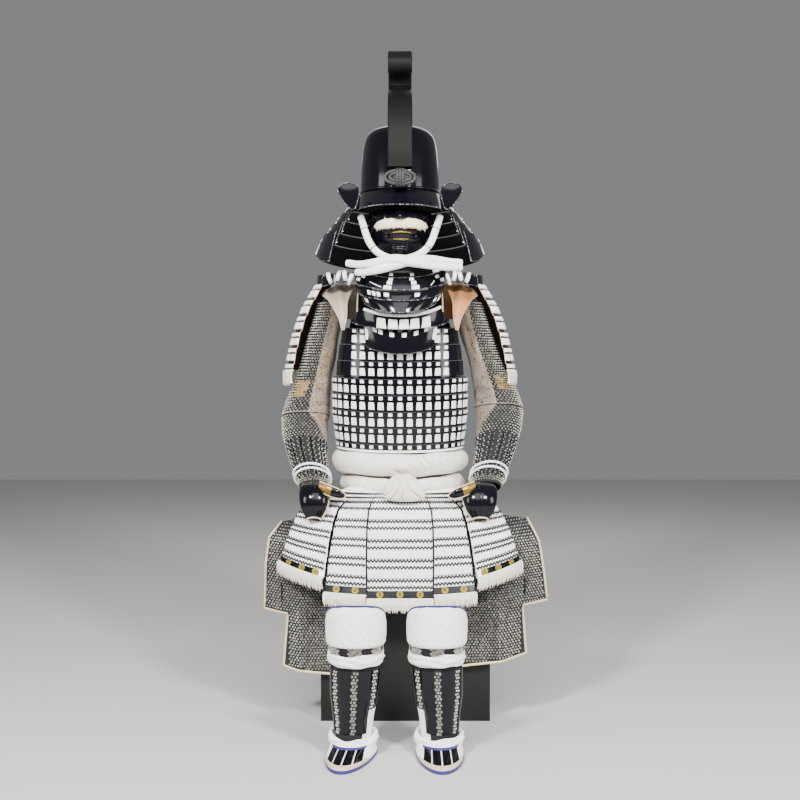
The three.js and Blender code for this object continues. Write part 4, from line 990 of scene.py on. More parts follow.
for name, panel in TASSETS.items():
    across = np.linspace(0, 1, 41)
    edge_length = np.linalg.norm(skirt_at(1, 0.9, panel) - skirt_at(0, 0.9, panel))
    # Ribs of braid 5.8 mm apart and two zig-zags stand between the sash and the first lame.
    u = np.linspace(0, 1, 2 * int(edge_length / 5.8) + 1)
    rib = 1.6 * (np.arange(len(u)) % 2)
    new_piece(f"{name}_joining_strands", joined_at(u, np.linspace(0, 1, 7)[:, None], panel, rib),
              silk_braid, wall=1.5, sharp=60)
    for number, middle in enumerate((0.6, 0.84)):
        share = middle + 0.05 * np.where(np.arange(len(u)) % 2, 1, -1)
        line = joined_at(u, share, panel, 2.2)
        new_piece(f"{name}_joining_zigzag_{number + 1}",
                  band(line, 4.4, 1.3, joined_at(u, share, panel, 3.2) - line), black_braid,
                  sharp=60)
    # The lames themselves, in black lacquer.
    shares = np.array([(lame + part) / SKIRT_LAMES for lame in range(SKIRT_LAMES)
                       for part in (0, 0.25, 0.5, 0.75, 0.985)] + [1.0])[:, None]
    leaning = LAME_STEP * (1 - (shares * SKIRT_LAMES) % 1)
    leaning[-1] = 0
    new_piece(f"{name}_lames", skirt_at(across, shares, panel, leaning - 0.8), black_lacquer,
              [name], wall=2)
    # Upright strands of white braid, 5.8 mm apart, on every lame but the last one's foot.
    count = int(round((edge_length - 8) / 5.8))
    strand_a = (np.arange(count) + 0.5) / count
    u = np.concatenate([np.full(3, a) + np.array([-0.46, 0, 0.46]) / count for a in strand_a])
    u = 0.006 + 0.988 * u
    ridge = np.tile([0, 1.7, 0], count)
    for lame in range(SKIRT_LAMES):
        foot = 0.60 if lame == SKIRT_LAMES - 1 else 0.93
        strand_foot = foot + 0.05 * (foot > 0.9)
        v = (lame + np.linspace(0.004, strand_foot, 9)[:, None]) / SKIRT_LAMES
        lean = LAME_STEP * (1 - (v * SKIRT_LAMES) % 1)
        bulge = 1.3 * np.sin(np.linspace(0, math.pi, 9))[:, None] ** 0.5
        new_piece(f"{name}_strands_{lame + 1}",
                  skirt_at(u[None], v, panel, lean - 0.2 + bulge * (0.8 + 0.5 * ridge / 1.7) + ridge),
                  silk_braid, sharp=50)
        # Two zig-zags of dark braid, under the lame's top edge and 15 mm below it, each with a
        # tooth every 9 mm.
        teeth = int(edge_length / 4.5) // 2 * 2 + 1
        for zig, at, tall, wide in (("upper", 0.09, 2.6, 7.0), ("lower", 0.43, 2.6, 7.0)):
            a = np.linspace(0.012, 0.988, teeth)
            swing = tall / SKIRT_LAME_HIGH * np.where(np.arange(teeth) % 2, 1, -1)
            share = (lame + at + swing) / SKIRT_LAMES
            lift = LAME_STEP * (1 - at) + 3.0
            line = skirt_at(a, share, panel, lift)
            proud = skirt_at(a, share, panel, lift + 1.0) - line
            proud /= np.linalg.norm(proud, axis=1, keepdims=True)
            new_piece(f"{name}_zigzag_{zig}_{lame + 1}", band(line, wide, 1.3, proud), black_braid,
                      sharp=60)
    # Gold rosettes on the bare strip: a domed flower of sixteen petals round a boss.
    rosettes = panel[4]
    for number in range(rosettes):
        a = (number + 0.5) / rosettes
        a = 0.5 + (a - 0.5) * 0.92
        share = 1 - ROSETTE_RADIUS / SKIRT_LAME_HIGH / SKIRT_LAMES
        middle = skirt_at(a, share, panel, 0.8)
        right = skirt_at(a + 0.01, share, panel, 0.8) - middle
        down = skirt_at(a, share + 0.01, panel, 0.8) - middle
        right /= np.linalg.norm(right)
        down /= np.linalg.norm(down)
        proud = np.cross(down, right)
        radius = np.array([0, 0.14, 0.26, 0.36, 0.6, 0.85, 1.0])[:, None] * ROSETTE_RADIUS
        turn = -np.linspace(0, 2 * np.pi, 48, endpoint=False)
        petal = np.abs(np.cos(turn * 8)) ** 0.5
        rise = np.array([3.4, 3.2, 2.2, 1.3, 2.4, 2.0, 0])[:, None] * (0.55 + 0.45 * petal)
        rise[:3] = np.array([3.4, 3.2, 2.0])[:, None]
        disc = middle + (radius * np.cos(turn))[..., None] * right + (radius * np.sin(turn))[..., None] * down
        new_piece(f"{name}_rosette_{number + 1}", disc + rise[..., None] * proud, gilt_brass,
                  around=True, poles=True, sharp=40)
    # The fur: a soft body, and tufts hanging over it in three rows.
    body_rows = np.array([[-1, 1.5], [-2, 5], [3, 8.5], [12, 9.5], [22, 8.5], [28, 6]])
    body = skirt_at(across, 1.0, panel, body_rows[:, 1:2], body_rows[:, :1])
    new_piece(f"{name}_fur_body", body, ivory_fur, wall=5, sharp=80)
    draw = np.random.default_rng(len(name))
    rows = []
    for start, length, out in ((0, 24, 8.0), (9, 22, 9.6), (18, 18.5, 8.5)):
        number = int(edge_length / 3.1)
        a = (np.arange(number) + draw.uniform(0.1, 0.9, number)) / number
        a = 0.01 + 0.98 * a
        root = skirt_at(a, 1.0, panel, np.full(number, out), start + draw.uniform(-1.5, 1.5, number))
        shift = np.clip(a + draw.normal(0, 0.012, number), 0, 1)
        tip = skirt_at(shift, 1.0, panel, out - 2 + draw.uniform(-2, 2, number),
                       start + length * draw.uniform(0.94, 1.02, number))
        lift = skirt_at(a, 1.0, panel, out + 2.2, start) - skirt_at(a, 1.0, panel, out, start)
        rows.append((root, tip, lift))
    root, tip, lift = (np.concatenate(column) for column in zip(*rows))
    tufts(f"{name}_fur", root, tip, lift, 1.5, ivory_fur)


# ---- Sleeves ----------------------------------------------------------------------------------
# Armoured sleeves: a brocade ground with strips of mail along the outside of the arm, and a
# patch of patterned leather above the elbow. The forearm is all mail over dark cloth, with
# lacquered splints, and is bound at the wrist with a white cord.

# Brocade: grey-lilac ground with a woven scroll. The scroll's tendrils follow the level lines of
# a turbulent noise, 25 to 40 mm across: fine brown ones, and broader gold ones in patches.
def scroll_on(look, place, size, wide, twist=2.2):
    """A mask of curling lines: where a noise passes its middle value, within `wide` of it."""
    field = add(look, "TexNoise", {"Vector": place, "Scale": size, "Detail": 1.0, "Distortion": twist})
    off = add(look, "Math", {0: field.outputs["Fac"], 1: 0.5}, operation="SUBTRACT")
    far = add(look, "Math", {0: off.outputs[0]}, operation="ABSOLUTE")
    return add(look, "MapRange", {"Value": far.outputs[0], "From Min": wide, "From Max": wide * 0.4})


sleeve_brocade, shader = new_material("grey_lilac_brocade", "#b5adb0", 0.6, Sheen_Weight=0.25)
place = place_on(sleeve_brocade)
patchy = add(sleeve_brocade, "TexNoise", {"Vector": place, "Scale": 14.0, "Detail": 3.0})
ground = add(sleeve_brocade, "Mix", {"Factor": patchy.outputs["Fac"], "A": linear("#564a42"),
                                     "B": linear("#a39283")}, data_type="RGBA")
fine_line = scroll_on(sleeve_brocade, place, 46.0, 0.034)
drawn = add(sleeve_brocade, "Mix", {"Factor": fine_line.outputs[0], "A": ground.outputs["Result"],
                                    "B": linear("#38290f")}, data_type="RGBA")
broad_line = scroll_on(sleeve_brocade, place, 24.0, 0.055, 3.0)
where = add(sleeve_brocade, "MapRange", {"Value": patchy.outputs["Fac"], "From Min": 0.5,
                                         "From Max": 0.56})
gold_here = add(sleeve_brocade, "Math", {0: broad_line.outputs[0], 1: where.outputs[0]},
                operation="MULTIPLY")
tint = add(sleeve_brocade, "Mix", {"Factor": gold_here.outputs[0], "A": drawn.outputs["Result"],
                                   "B": linear("#77561f")}, data_type="RGBA")
connect(sleeve_brocade, tint.outputs["Result"], shader.inputs["Base Color"])
ribs = add(sleeve_brocade, "TexWave", {"Vector": place, "Scale": 300.0, "Distortion": 1.0},
           bands_direction="Z")
raised(sleeve_brocade, shader, ribs.outputs["Fac"], 0.25, 0.0006)

# Printed leather: ochre with small dark and red flowers about 12 mm apart.
printed_leather, shader = new_material("printed_ochre_leather", "#c79a52", 0.6)
place = place_on(printed_leather)
cells = add(printed_leather, "TexVoronoi", {"Vector": place, "Scale": 85.0})
flower = add(printed_leather, "MapRange", {"Value": cells.outputs["Distance"], "From Min": 0.3,
                                           "From Max": 0.42})
hue = add(printed_leather, "TexNoise", {"Vector": place, "Scale": 70.0})
petal = add(printed_leather, "Mix", {"Factor": hue.outputs["Fac"], "A": linear("#3a1a10"),
                                     "B": linear("#15191c")}, data_type="RGBA")
tint = add(printed_leather, "Mix", {"Factor": flower.outputs[0], "A": petal.outputs["Result"],
                                    "B": linear("#8f6c2a")}, data_type="RGBA")
connect(printed_leather, tint.outputs["Result"], shader.inputs["Base Color"])

SLEEVE = {
    "upper": np.array([[186, 6, 1092, 32, 54, 0], [192, 6, 1045, 40, 58, 0], [211, 8, 975, 43, 58, 0],
                       [231, 10, 900, 46, 56, 0], [250, 14, 835, 59, 56, 6],
                       [258, 10, 792, 64, 54, 14]], float),
    "forearm": np.array([[259, 9, 789.5, 64, 54, 14], [258, -10, 738, 60, 48, 28],
                         [249, -48, 686, 51, 42, 36], [235, -82, 640, 45, 35, 36],
                         [222, -113, 598, 40, 31, 36]], float),
}
ELBOW = {"left": (-1, -4, -10), "right": (1, 9, 12)}


def sleeve_at(angle, share, part, arm, grown=0.0):
    """The sleeve at a share of the way down its part: a tilted ellipse whose middle, widths and
    tilt are read from the table by straight lines. The elbow's offset fades out on a bell
    curve 130 mm wide, centred 800 mm up."""
    side, out, up = arm
    table = SLEEVE[part]
    x, y, z, half, deep, tilt = (np.interp(share * (len(table) - 1), np.arange(len(table)), table[:, k])
                                 for k in range(6))
    fade = np.exp(-((z - 800) / 130) ** 2)
    flat = around(angle, half + grown, deep + grown, 0.0)
    lean = np.radians(tilt)
    return np.stack(np.broadcast_arrays(side * (x + out * fade) + flat[..., 0],
                                        y + flat[..., 1] * np.cos(lean),
                                        z + up * fade - flat[..., 1] * np.sin(lean)), -1)


for name, arm in ELBOW.items():
    side = arm[0]
    turn = np.linspace(-180, 180, 97)[:-1]
    about = np.radians(turn)
    # Upper sleeve: soft folds slant down and across, and gather above the elbow.
    share = np.linspace(0, 1, 53)[:, None]
    fold = 1.3 * np.sin(about * 2 + share * 15 * side) + 1.0 * np.sin(about * 3 - share * 22 + 1)
    fold += 1.1 * np.sin(share * 46 + 1.5 * np.sin(about * 2)) * smooth((share - 0.6) / 0.3)
    fold = (fold - 1.4) * smooth(share / 0.05) * smooth((1 - share) / 0.04)
    grid = sleeve_at(turn, share, "upper", arm, fold)
    cells_turn = turn[None, :] + 1.9
    outward = np.abs((cells_turn * side - 90 + 180) % 360 - 180)
    is_mail = (outward < 98) | (np.abs(cells_turn) > 120)
    cell_share = (share[:-1] + share[1:]) / 2
    is_patch = (np.abs(cell_share - 0.72) < 0.07) & (np.abs(cells_turn * side - 40) < 34)
    looks = np.broadcast_to(np.where(is_patch, 2, np.where(is_mail, 1, 0)), (52, 96))
    cloth = new_piece(f"sleeve_upper_cloth_{name}", grid, [sleeve_brocade, black_hemp, printed_leather],
                      [f"sleeve_upper_{name}"], around=True, wall=2, face_looks=looks,
                      sharp=80)
    a, low = staggered(-180, 174, 9.5, -1084, -794, 7.2)
    v = np.interp(low, -SLEEVE["upper"][:, 2], np.linspace(0, 1, 6))
    outward = np.abs((a * side - 90 + 180) % 360 - 180)
    keep = (outward < 96) | (np.abs(a) > 123)
    surface = lambda u, v, arm=arm: sleeve_at(u, v, "upper", arm, 1.0)
    mail = links(f"sleeve_upper_mail_{name}", surface, a[keep], v[keep], 2.5, 2.8, 2.0, mail_iron)
    # Forearm: mail over dark cloth with narrow splints round its middle; the brocade of the upper
    # sleeve runs on to a point down its inner side.
    share = np.linspace(0, 1, 43)[:, None]
    fold = 0.9 * np.sin(about * 3 + share * 12) + 0.8 * np.sin(share * 34 + about) - 1.2
    fold = fold * smooth(share / 0.05) * smooth((1 - share) / 0.05)
    grid = sleeve_at(turn, share, "forearm", arm, fold)
    outward = np.abs((cells_turn * side - 90 + 180) % 360 - 180)
    cell_share = (share[:-1] + share[1:]) / 2
    runs_on = (outward > 98 + 165 * cell_share) & (np.abs(cells_turn) < 120)
    lower = new_piece(f"sleeve_forearm_cloth_{name}", grid, [black_hemp, sleeve_brocade],
                      [f"sleeve_forearm_{name}"], around=True, wall=2,
                      face_looks=runs_on.astype(int), sharp=80)
    a, v = staggered(-180, 174, 9.5, 0.03, 0.98, 0.031)
    splint_a = np.arange(-135, 136, 30) * 1.0
    on_splint = (np.abs(((a + 15) % 30) - 15) < 4.4) & (v > 0.36) & (v < 0.9) & (np.abs(a) < 145)
    outward = np.abs((a * side - 90 + 180) % 360 - 180)
    keep = ~on_splint & ~((outward > 95 + 165 * v) & (np.abs(a) < 120))
    surface = lambda u, v, arm=arm: sleeve_at(u, v, "forearm", arm, 0.6)
    lower_mail = links(f"sleeve_forearm_mail_{name}", surface, a[keep], v[keep], 2.5, 2.5, 2.0,
                       mail_iron)
    for number, middle in enumerate(splint_a[1:-1]):
        across = np.linspace(-3.4, 3.4, 7)
        down = np.array([0.37, 0.375, 0.5, 0.63, 0.76, 0.885, 0.89])[:, None]
        crown = 2.8 - 1.4 * (across / 3.4) ** 2 - np.array([1.4, 0, 0, 0, 0, 0, 1.4])[:, None]
        new_piece(f"forearm_splint_{name}_{number + 1}",
                  sleeve_at(middle + across, down, "forearm", arm, crown), black_lacquer,
                  wall=1.6)
    # A rolled dark binding closes both ends and the seam at the elbow.
    for part, at, look in (("upper", 0.0, black_hemp), ("upper", 0.995, sleeve_brocade),
                           ("forearm", 0.99, black_hemp)):
        edge = sleeve_at(turn, at, part, arm, -1.2)
        middle = edge.mean(0)
        new_piece(f"sleeve_binding_{part}_{'foot' if at > 0.5 else 'top'}_{name}",
                  tube(edge, 1.9, 2.0, 8, edge - middle, closed=True), look,
                  around=True, poles=True, sharp=80)
    # The wrist cord: two turns of white cotton that rise in front.
    for number, at in enumerate((0.80, 0.865)):
        edge = sleeve_at(turn, at - 0.055 * np.cos(about), "forearm", arm, 4.2 + 0.4 * number)
        new_piece(f"wrist_cord_{name}_{number + 1}",
                  tube(edge, 3.0, 3.0, 10, edge - edge.mean(0), closed=True), white_cotton,
                  around=True, poles=True, sharp=80)
    all_round = np.append(turn, 180)
    for piece, part, rows, more in ((cloth, "upper", 53, mail), (lower, "forearm", 43, lower_mail)):
        flat, area = cut_of(sleeve_at(all_round, np.linspace(0, 1, rows)[:, None], part, arm))


# ---- Hand guards ------------------------------------------------------------------------------
# A domed iron plate over the back of each hand and a smaller one over the thumb, lacquered
# black outside and gilt inside, edged with a gold-wound cord.

HAND = np.array([[-142, 612, 0.84, 8], [-165, 600, 1, 20], [-183, 577, 1, 26], [-195, 550, 0.84, 22],
                 [-197, 524, 0.46, 12]], float)
HAND_PLACE = {"left": (-219, 38), "right": (204, 44)}

gold_lacquer, shader = new_material("gold_lacquer_lining", "#b08b45", 0.35, Metallic=0.7)
place = place_on(gold_lacquer)
worn = add(gold_lacquer, "TexNoise", {"Vector": place, "Scale": 90.0, "Detail": 3.0})
tinted(gold_lacquer, shader, worn.outputs["Fac"], "#5c4216", "#a37f3e")

for name, (x, half) in HAND_PLACE.items():
    rows = smooth_line(HAND, 41)
    angle = np.linspace(-90, 90, 49)
    wide = half * rows[:, 2:3] * np.sin(np.radians(angle))
    out = rows[:, 3:4] * np.cos(np.radians(angle))
    grid = np.stack([x + wide, rows[:, 0:1] - 0.8 * out, rows[:, 1:2] + 0.6 * out], -1)
    new_piece(f"hand_plate_{name}", grid, [black_lacquer, gold_lacquer],
              [f"hand_guard_{name}"], wall=2, sharp=50)
    # Cream piping runs down the inner edge and round the fingertips.
    inner = grid[4:, -1] if x < 0 else grid[4:, 0]
    tips = grid[-1, ::-1][1:] if x < 0 else grid[-1, 1:]
    edge = smooth_line(np.concatenate([inner, tips])[::3], 61)
    new_piece(f"hand_edge_{name}", tube(edge, 2.0, 2.2, 8, edge - grid.mean((0, 1))), gold_cord,
              around=True, poles=True, sharp=80)
    # The thumb's plate curls inwards from the wrist: gilt where it turns, black over the nail.
    lean = 1 if x < 0 else -1
    spine = smooth_line([[12, -184, 611], [34, -196, 601], [58, -200, 592], [80, -194, 583]], 33)
    spine[:, 0] = x + lean * spine[:, 0]
    at = np.linspace(0, 1, 33)[:, None]
    wide = (9.5 + 3 * np.sin(at * math.pi)) * np.sqrt(np.clip(1 - at ** 6, 0, 1))
    turn_thumb = np.radians(np.linspace(-80, 80, 17))[::lean]
    thumb = spine[:, None] + np.stack(np.broadcast_arrays(
        0.3 * lean * wide * np.sin(turn_thumb), -wide * np.cos(turn_thumb) * 0.6,
        wide * np.sin(turn_thumb)), -1)
    gilt = (np.broadcast_to(at[1:] < 0.5, (32, 16))).astype(int)
    new_piece(f"thumb_plate_{name}", thumb, [black_lacquer, gold_lacquer], wall=1.5,
              face_looks=gilt, sharp=50)
    edge = np.concatenate([thumb[:, 0], thumb[-1, 1:-1], thumb[::-1, -1]])
    new_piece(f"thumb_edge_{name}", tube(edge, 1.6, 1.7, 8, edge - thumb.mean((0, 1)) + [0, 3, 0]),
              gold_cord, around=True, poles=True, sharp=80)
    ridge = grid[6:-4, 24] + [0, -1.0, 0.6]
    new_piece(f"hand_ridge_{name}", tube(ridge, 1.2, 2.0, 8, (0, -0.8, 0.6)), black_lacquer,
              around=True, poles=True)


# ---- Shoulder cloths --------------------------------------------------------------------------
# Satin facings at the top of each sleeve, which lie over the shoulder from behind to the front
# under the shield: orange-brown on one side, and grey-tan on the other.

YOKE = np.array([[120, 1050, 118, 150], [88, 1108, 118, 188], [10, 1142, 116, 205],
                 [-50, 1130, 118, 206], [-92, 1092, 136, 184], [-114, 1046, 138, 162],
                 [-122, 1010, 144, 152]], float)


def satin(name, dark, light):
    """Silk satin: a plain weave with long floats, so it has a broad sheen; its threads run
    along the arm about 0.5 mm apart, drawn 1.5 mm apart so that they show."""
    made, shader = new_material(name, light, 0.42, Sheen_Weight=0.3, Anisotropic=0.4)
    place = place_on(made)
    # The cloudy mix from the dark colour to the light one is painted shade and sheen, in patches that follow
    # a noise.
    cloudy = add(made, "TexNoise", {"Vector": place, "Scale": 26.0, "Detail": 4.0})
    tint = add(made, "Mix", {"Factor": cloudy.outputs["Fac"], "A": linear(dark), "B": linear(light)},
               data_type="RGBA")
    connect(made, tint.outputs["Result"], shader.inputs["Base Color"])
    threads = add(made, "TexWave", {"Vector": place, "Scale": 105.0, "Distortion": 0.5},
                  bands_direction="X")
    raised(made, shader, threads.outputs["Fac"], 0.2, 0.0006)
    return made


# Orange-brown silk satin, with painted sheen and shade in cloudy patches.
orange_satin = satin("orange_brown_satin", "#6e4a1c", "#c98a56")
# Unbleached grey-tan silk satin, with the same painted sheen and shade in cloudy patches.
tan_satin = satin("grey_tan_satin", "#6f6450", "#b5a895")

for name, side, look in (("left", -1, tan_satin), ("right", 1, orange_satin)):
    rows = smooth_line(YOKE, 61)
    share = np.linspace(0, 1, 25) if side > 0 else np.linspace(1, 0, 25)
    x = rows[:, 2:3] + (rows[:, 3:4] - rows[:, 2:3]) * share
    fall = 26 * (np.maximum(0, x - 150) / 55) ** 2
    along = np.linspace(0, 1, 61)[:, None]
    # Deep soft folds run along the cloth and draw together in front.
    fold = 2.6 * np.sin(x / 5.5 + along * 7) * np.sin(along * math.pi) ** 0.5 - 1.2
    grid = np.stack([side * x, np.broadcast_to(rows[:, 0:1], x.shape) - fold * (along > 0.5),
                     rows[:, 1:2] - fall + fold], -1)
    cloth = new_piece(f"shoulder_satin_{name}", grid, look,
                      [f"shoulder_cloth_{name}"], wall=2, sharp=80)
    flat, area = cut_of(grid)


# ---- Collar plates ----------------------------------------------------------------------------
# Two curved lacquered plates on the breast, under the throat guard: the upper has a twisted
# white cord on its edge, broad white blocks and a row of squares, and the lower is bare.

COLLAR = {
    "collar_plate": (152, 154, 1043, 1008, 40, 22, 57),
    "collar_crescent": (146, 137, 1000, 945, 30, 20, 36),
}
COLLAR_Y = -20


def collar_at(angle, share, plate, out=0.0):
    """A plate curved about (0, -20). Its edges rise towards its ends as 1 - cos, which is 1 at
    the end."""
    half, deep, top, foot, rise, low_rise, reach = plate
    from_middle = (1 - np.cos(np.radians(angle))) / (1 - math.cos(math.radians(reach)))
    z = top + (foot - top) * share + (rise + (low_rise - rise) * share) * from_middle
    return around(angle, half + out, deep + out, z, COLLAR_Y)


# White and black cotton twisted together: the rope edge of the collar and throat guard.
rope_edge, shader = new_material("twisted_white_rope", "#f2f0ec", 0.7, Sheen_Weight=0.3)
place = add(rope_edge, "Attribute", {}, attribute_name="flat").outputs["Vector"]
turned_place = add(rope_edge, "Mapping", {"Vector": place, "Rotation": (0, 0, math.radians(55))})
twist = add(rope_edge, "TexWave", {"Vector": turned_place.outputs[0], "Scale": 0.075},
            bands_direction="X")
dark_strand = add(rope_edge, "MapRange", {"Value": twist.outputs["Fac"], "From Min": 0.1,
                                          "From Max": 0.2})
tinted(rope_edge, shader, dark_strand.outputs[0], "#35323a", "#fbfaf8")
raised(rope_edge, shader, twist.outputs["Fac"], 0.5, 0.0012)


def roped(name, route, out, look=rope_edge, radius=2.2):
    """A rope along an edge, with its twist laid on the unrolled skin."""
    rings = tube(route, radius, radius, 8, out)
    flat = tube_flat(length_of(route), len(rings), 8, 2 * math.pi * radius)
    return new_piece(name, rings, look, around=True, poles=True, flat=flat, sharp=80)


# Painted highlight along a raised edge: a thin grey line, broken into specks where the black remains.
edge_highlight, shader = new_material("painted_edge_highlight", "#8f8f92", 0.3)
place = place_on(edge_highlight)
specks = add(edge_highlight, "TexNoise", {"Vector": place, "Scale": 260.0, "Detail": 1.0})
rubbed = add(edge_highlight, "MapRange", {"Value": specks.outputs["Fac"], "From Min": 0.52,
                                     "From Max": 0.68})
tinted(edge_highlight, shader, rubbed.outputs[0], "#101014", "#98989a")

for name, plate in COLLAR.items():
    reach = plate[-1]
    angle = np.linspace(-reach, reach, 61)
    share = np.linspace(0, 1, 13)[:, None]
    belly = 1.6 * np.sin(share * math.pi)
    # The upper plate's outer corners are cut off slantwise.
    cut = 0.95 * np.clip((np.abs(angle) - 42) / 15, 0, 1) if name == "collar_plate" else 0
    new_piece(f"{name}_lame", collar_at(angle, share + (1 - share) * cut, plate, belly),
              black_lacquer, [name], wall=2)
    surface = lambda a, v, plate=plate: collar_at(a, v, plate, 1.2)
    if name == "collar_plate":
        along = np.linspace(-37, 43, 49)
        roped("collar_rope", collar_at(along, -0.02, plate, 1.4),
              collar_at(along, 0.02, plate) * [1, 1, 0] - [0, COLLAR_Y, 0], radius=4.2)
        places = [(a, 0.62, 4.3, 5.0, 0.36) for a in (-18.4, -6.8, 3.8, 14.2, 26.2)]
    else:
        places = [(a, 0.11, 2.4, 2.4, 0.105) for a in (-26.5, -20, -8.3, 4.3, 16.3, 27.5, 33.5)]
    blocks(f"{name}_lacing", surface, np.array(places).T, 1, 1, 2.6, silk_braid)
    # The rim along the plate's foot is a painted highlight line.
    edge = collar_at(angle, 0.99, plate, 0.8)
    new_piece(f"{name}_rim", tube(edge, 1.0, 1.2, 6, edge * [1, 1, 0] - [0, COLLAR_Y, 0]),
              edge_highlight, around=True, poles=True)

# A short cream braid ties each side of the crescent to the breast.
for number, (x, lean) in enumerate(((-87, 3), (92, -4))):
    route = smooth_line([[x, -128, 1026], [x + lean * 0.4, -134, 1006], [x + lean, -133, 984]], 13)
    new_piece(f"collar_lace_{number + 1}", tube(route, 1.4, 4.6, 8, (0, -1, 0)), silk_braid,
              around=True, poles=True)


# ---- Throat guard -----------------------------------------------------------------------------
# Curved lames hang from the mask over the throat, in two stiff pairs. They are left bare but for
# two plumb columns of white braid near the middle and short slanting ones at the sides.

THROAT = np.array([[104, 120, 113, 129, 1172, 1139, 46, 74], [118, 134, 126, 143, 1139, 1108, 46, 74],
                   [130, 122, 141, 153, 1103, 1079, 46, 64], [118, 104, 150, 161, 1079, 1050, 52, 60]],
                  float)
THROAT_Y = -55


def throat_at(angle, share, lame, out=0.0):
    """A throat lame: an arc about (0, -55) whose half width and reach change evenly from its
    top edge to its lower one, and whose ends rise by rise (1 - cos)."""
    top_half, half, top_deep, deep, top, foot, rise, _ = lame
    z = top + (foot - top) * share + rise * (1 - np.cos(np.radians(angle)))
    return around(angle, top_half + (half - top_half) * share + out,
                  top_deep + (deep - top_deep) * share + out, z, THROAT_Y)


THROAT_BRAIDS = [
    [(-22, 1148, 5, 3.6), (29, 1148, 5, 3.6), (-79, 1156, 5, 3.4), (84, 1160, 5, 3.4),
     (-88, 1152, 5, 3.4), (92, 1152, 6, 3.4)],
    [(-25, 1137, 6, 3.8), (31, 1137, 6, 3.8), (-27, 1126, 7, 4.6), (35, 1126, 7, 4.6),
     (-31, 1112, 10, 5), (38, 1112, 10, 5), (-96, 1146, 7, 3.6), (-105, 1140, 7, 3.8),
     (97, 1146, 7, 3.8), (106, 1139, 8, 4.2)],
    [(-34, 1095, 7, 5), (43, 1095, 7, 5), (-78, 1103, 5, 6), (-66, 1100, 5, 6), (-54, 1097, 5, 6)],
    [(88, 1086, 6, 5), (101, 1092, 7, 6), (-84, 1084, 6, 5)],
]
for guard, first in (("throat_upper", 0), ("throat_lower", 2)):
    reach = THROAT[first:first + 2, 7].max()
    for number in (first, first + 1):
        lame = THROAT[number]
        angle = np.linspace(-reach, reach, 61)
        share = np.linspace(0, 1, 9)[:, None]
        belly = 1.2 * np.sin(share * math.pi) + 0.6 * (1 - share)
        drop = [0, 0, 0.8 if number > first else 0]
        new_piece(f"throat_lame_{number + 1}", throat_at(angle, share, lame, belly) - drop,
                  black_lacquer, [guard] if number == first else (), wall=2)
        # The rim along the lame's foot is a painted highlight line.
        edge = throat_at(angle, 0.99, lame, 0.7) - drop
        new_piece(f"throat_rim_{number + 1}", tube(edge, 0.9, 1.1, 6, edge * [1, 1, 0] - [0, THROAT_Y, 0]),
                  edge_highlight, around=True, poles=True)
        surface = lambda a, v, lame=lame: throat_at(a, v, lame, 1.0)
        x, z, wide, tall = np.array(THROAT_BRAIDS[number], float).T
        half = (lame[0] + lame[1]) / 2
        at = np.degrees(np.arcsin(np.clip(x / half, -0.97, 0.97)))
        high = lame[4] - lame[5]
        share = (lame[4] + lame[6] * (1 - np.cos(np.radians(at))) - z) / high
        places = np.stack([at, np.clip(share, 0.14, 0.86), *[np.degrees(wide / half)] * 2, tall / high])
        blocks(f"throat_lacing_{number + 1}", surface, places, 1, 1, 2.2, silk_braid)
for name, ends in (("left", (-37, -21)), ("right", (36, 43))):
    at = np.linspace(0, 1, 17)
    route = throat_at(ends[0] + (ends[1] - ends[0]) * at, 0.55 + 0.3 * (at if name == "left" else 1 - at),
                      THROAT[1], 2.6)
    new_piece(f"throat_piping_{name}", tube(route, 0.9, 1.2, 6, route * [1, 1, 0]), silk_braid,
              around=True, poles=True)


# ---- Mask -------------------------------------------------------------------------------------
# A half mask of hammered iron, lacquered black: high cheeks, deep wrinkles beside the mouth,
# gilt teeth, and a moustache of bleached hair.

FACE = np.array([[1320, 84, 98], [1296, 83, 102], [1262, 77, 105], [1232, 66, 106], [1212, 55, 103],
                 [1200, 42, 94], [1193, 26, 76]], float)
FACE_Y = -44
NOSE_TIP_Z = 1297


def bump(distance, width):
    return np.exp(-(distance / width) ** 2)


def face_at(angle, z, out=0.0, wrinkled=True):
    """The mask at a height: an ellipse whose widths are read from the height, pushed forwards
    by bell curves for the nose, lips, chin and cheeks, and cut by wrinkles that fan out from
    the wings of the nose."""
    half, deep = (np.interp(z, FACE[::-1, 0], FACE[::-1, k]) + out for k in (1, 2))
    point = around(angle, half, deep, z, FACE_Y)
    x = point[..., 0]
    bridge = np.where(z > NOSE_TIP_Z, bump(z - NOSE_TIP_Z, 30), bump(z - NOSE_TIP_Z, 8))
    forwards = 24 * bridge * bump(x, 15) + 6 * bump(z - 1247, 22) * bump(x, 48)
    forwards = forwards + 7 * bump(z - 1212, 12) * bump(x, 30)
    forwards += 5 * bump(z - 1290, 22) * bump(np.abs(x) - 50, 18)
    if wrinkled:
        distance = np.hypot(np.abs(x) - 6, z - 1302)
        ring = np.sin(distance / 2.6) * smooth((distance - 26) / 14) * smooth((74 - distance) / 20)
        beside = smooth((np.abs(x) - 26) / 14)
        forwards += 1.5 * ring * beside + 1.2 * np.sin((z - 1212) / 2.2) * bump(z - 1218, 9) * bump(x, 24)
    point[..., 1] -= forwards
    return point


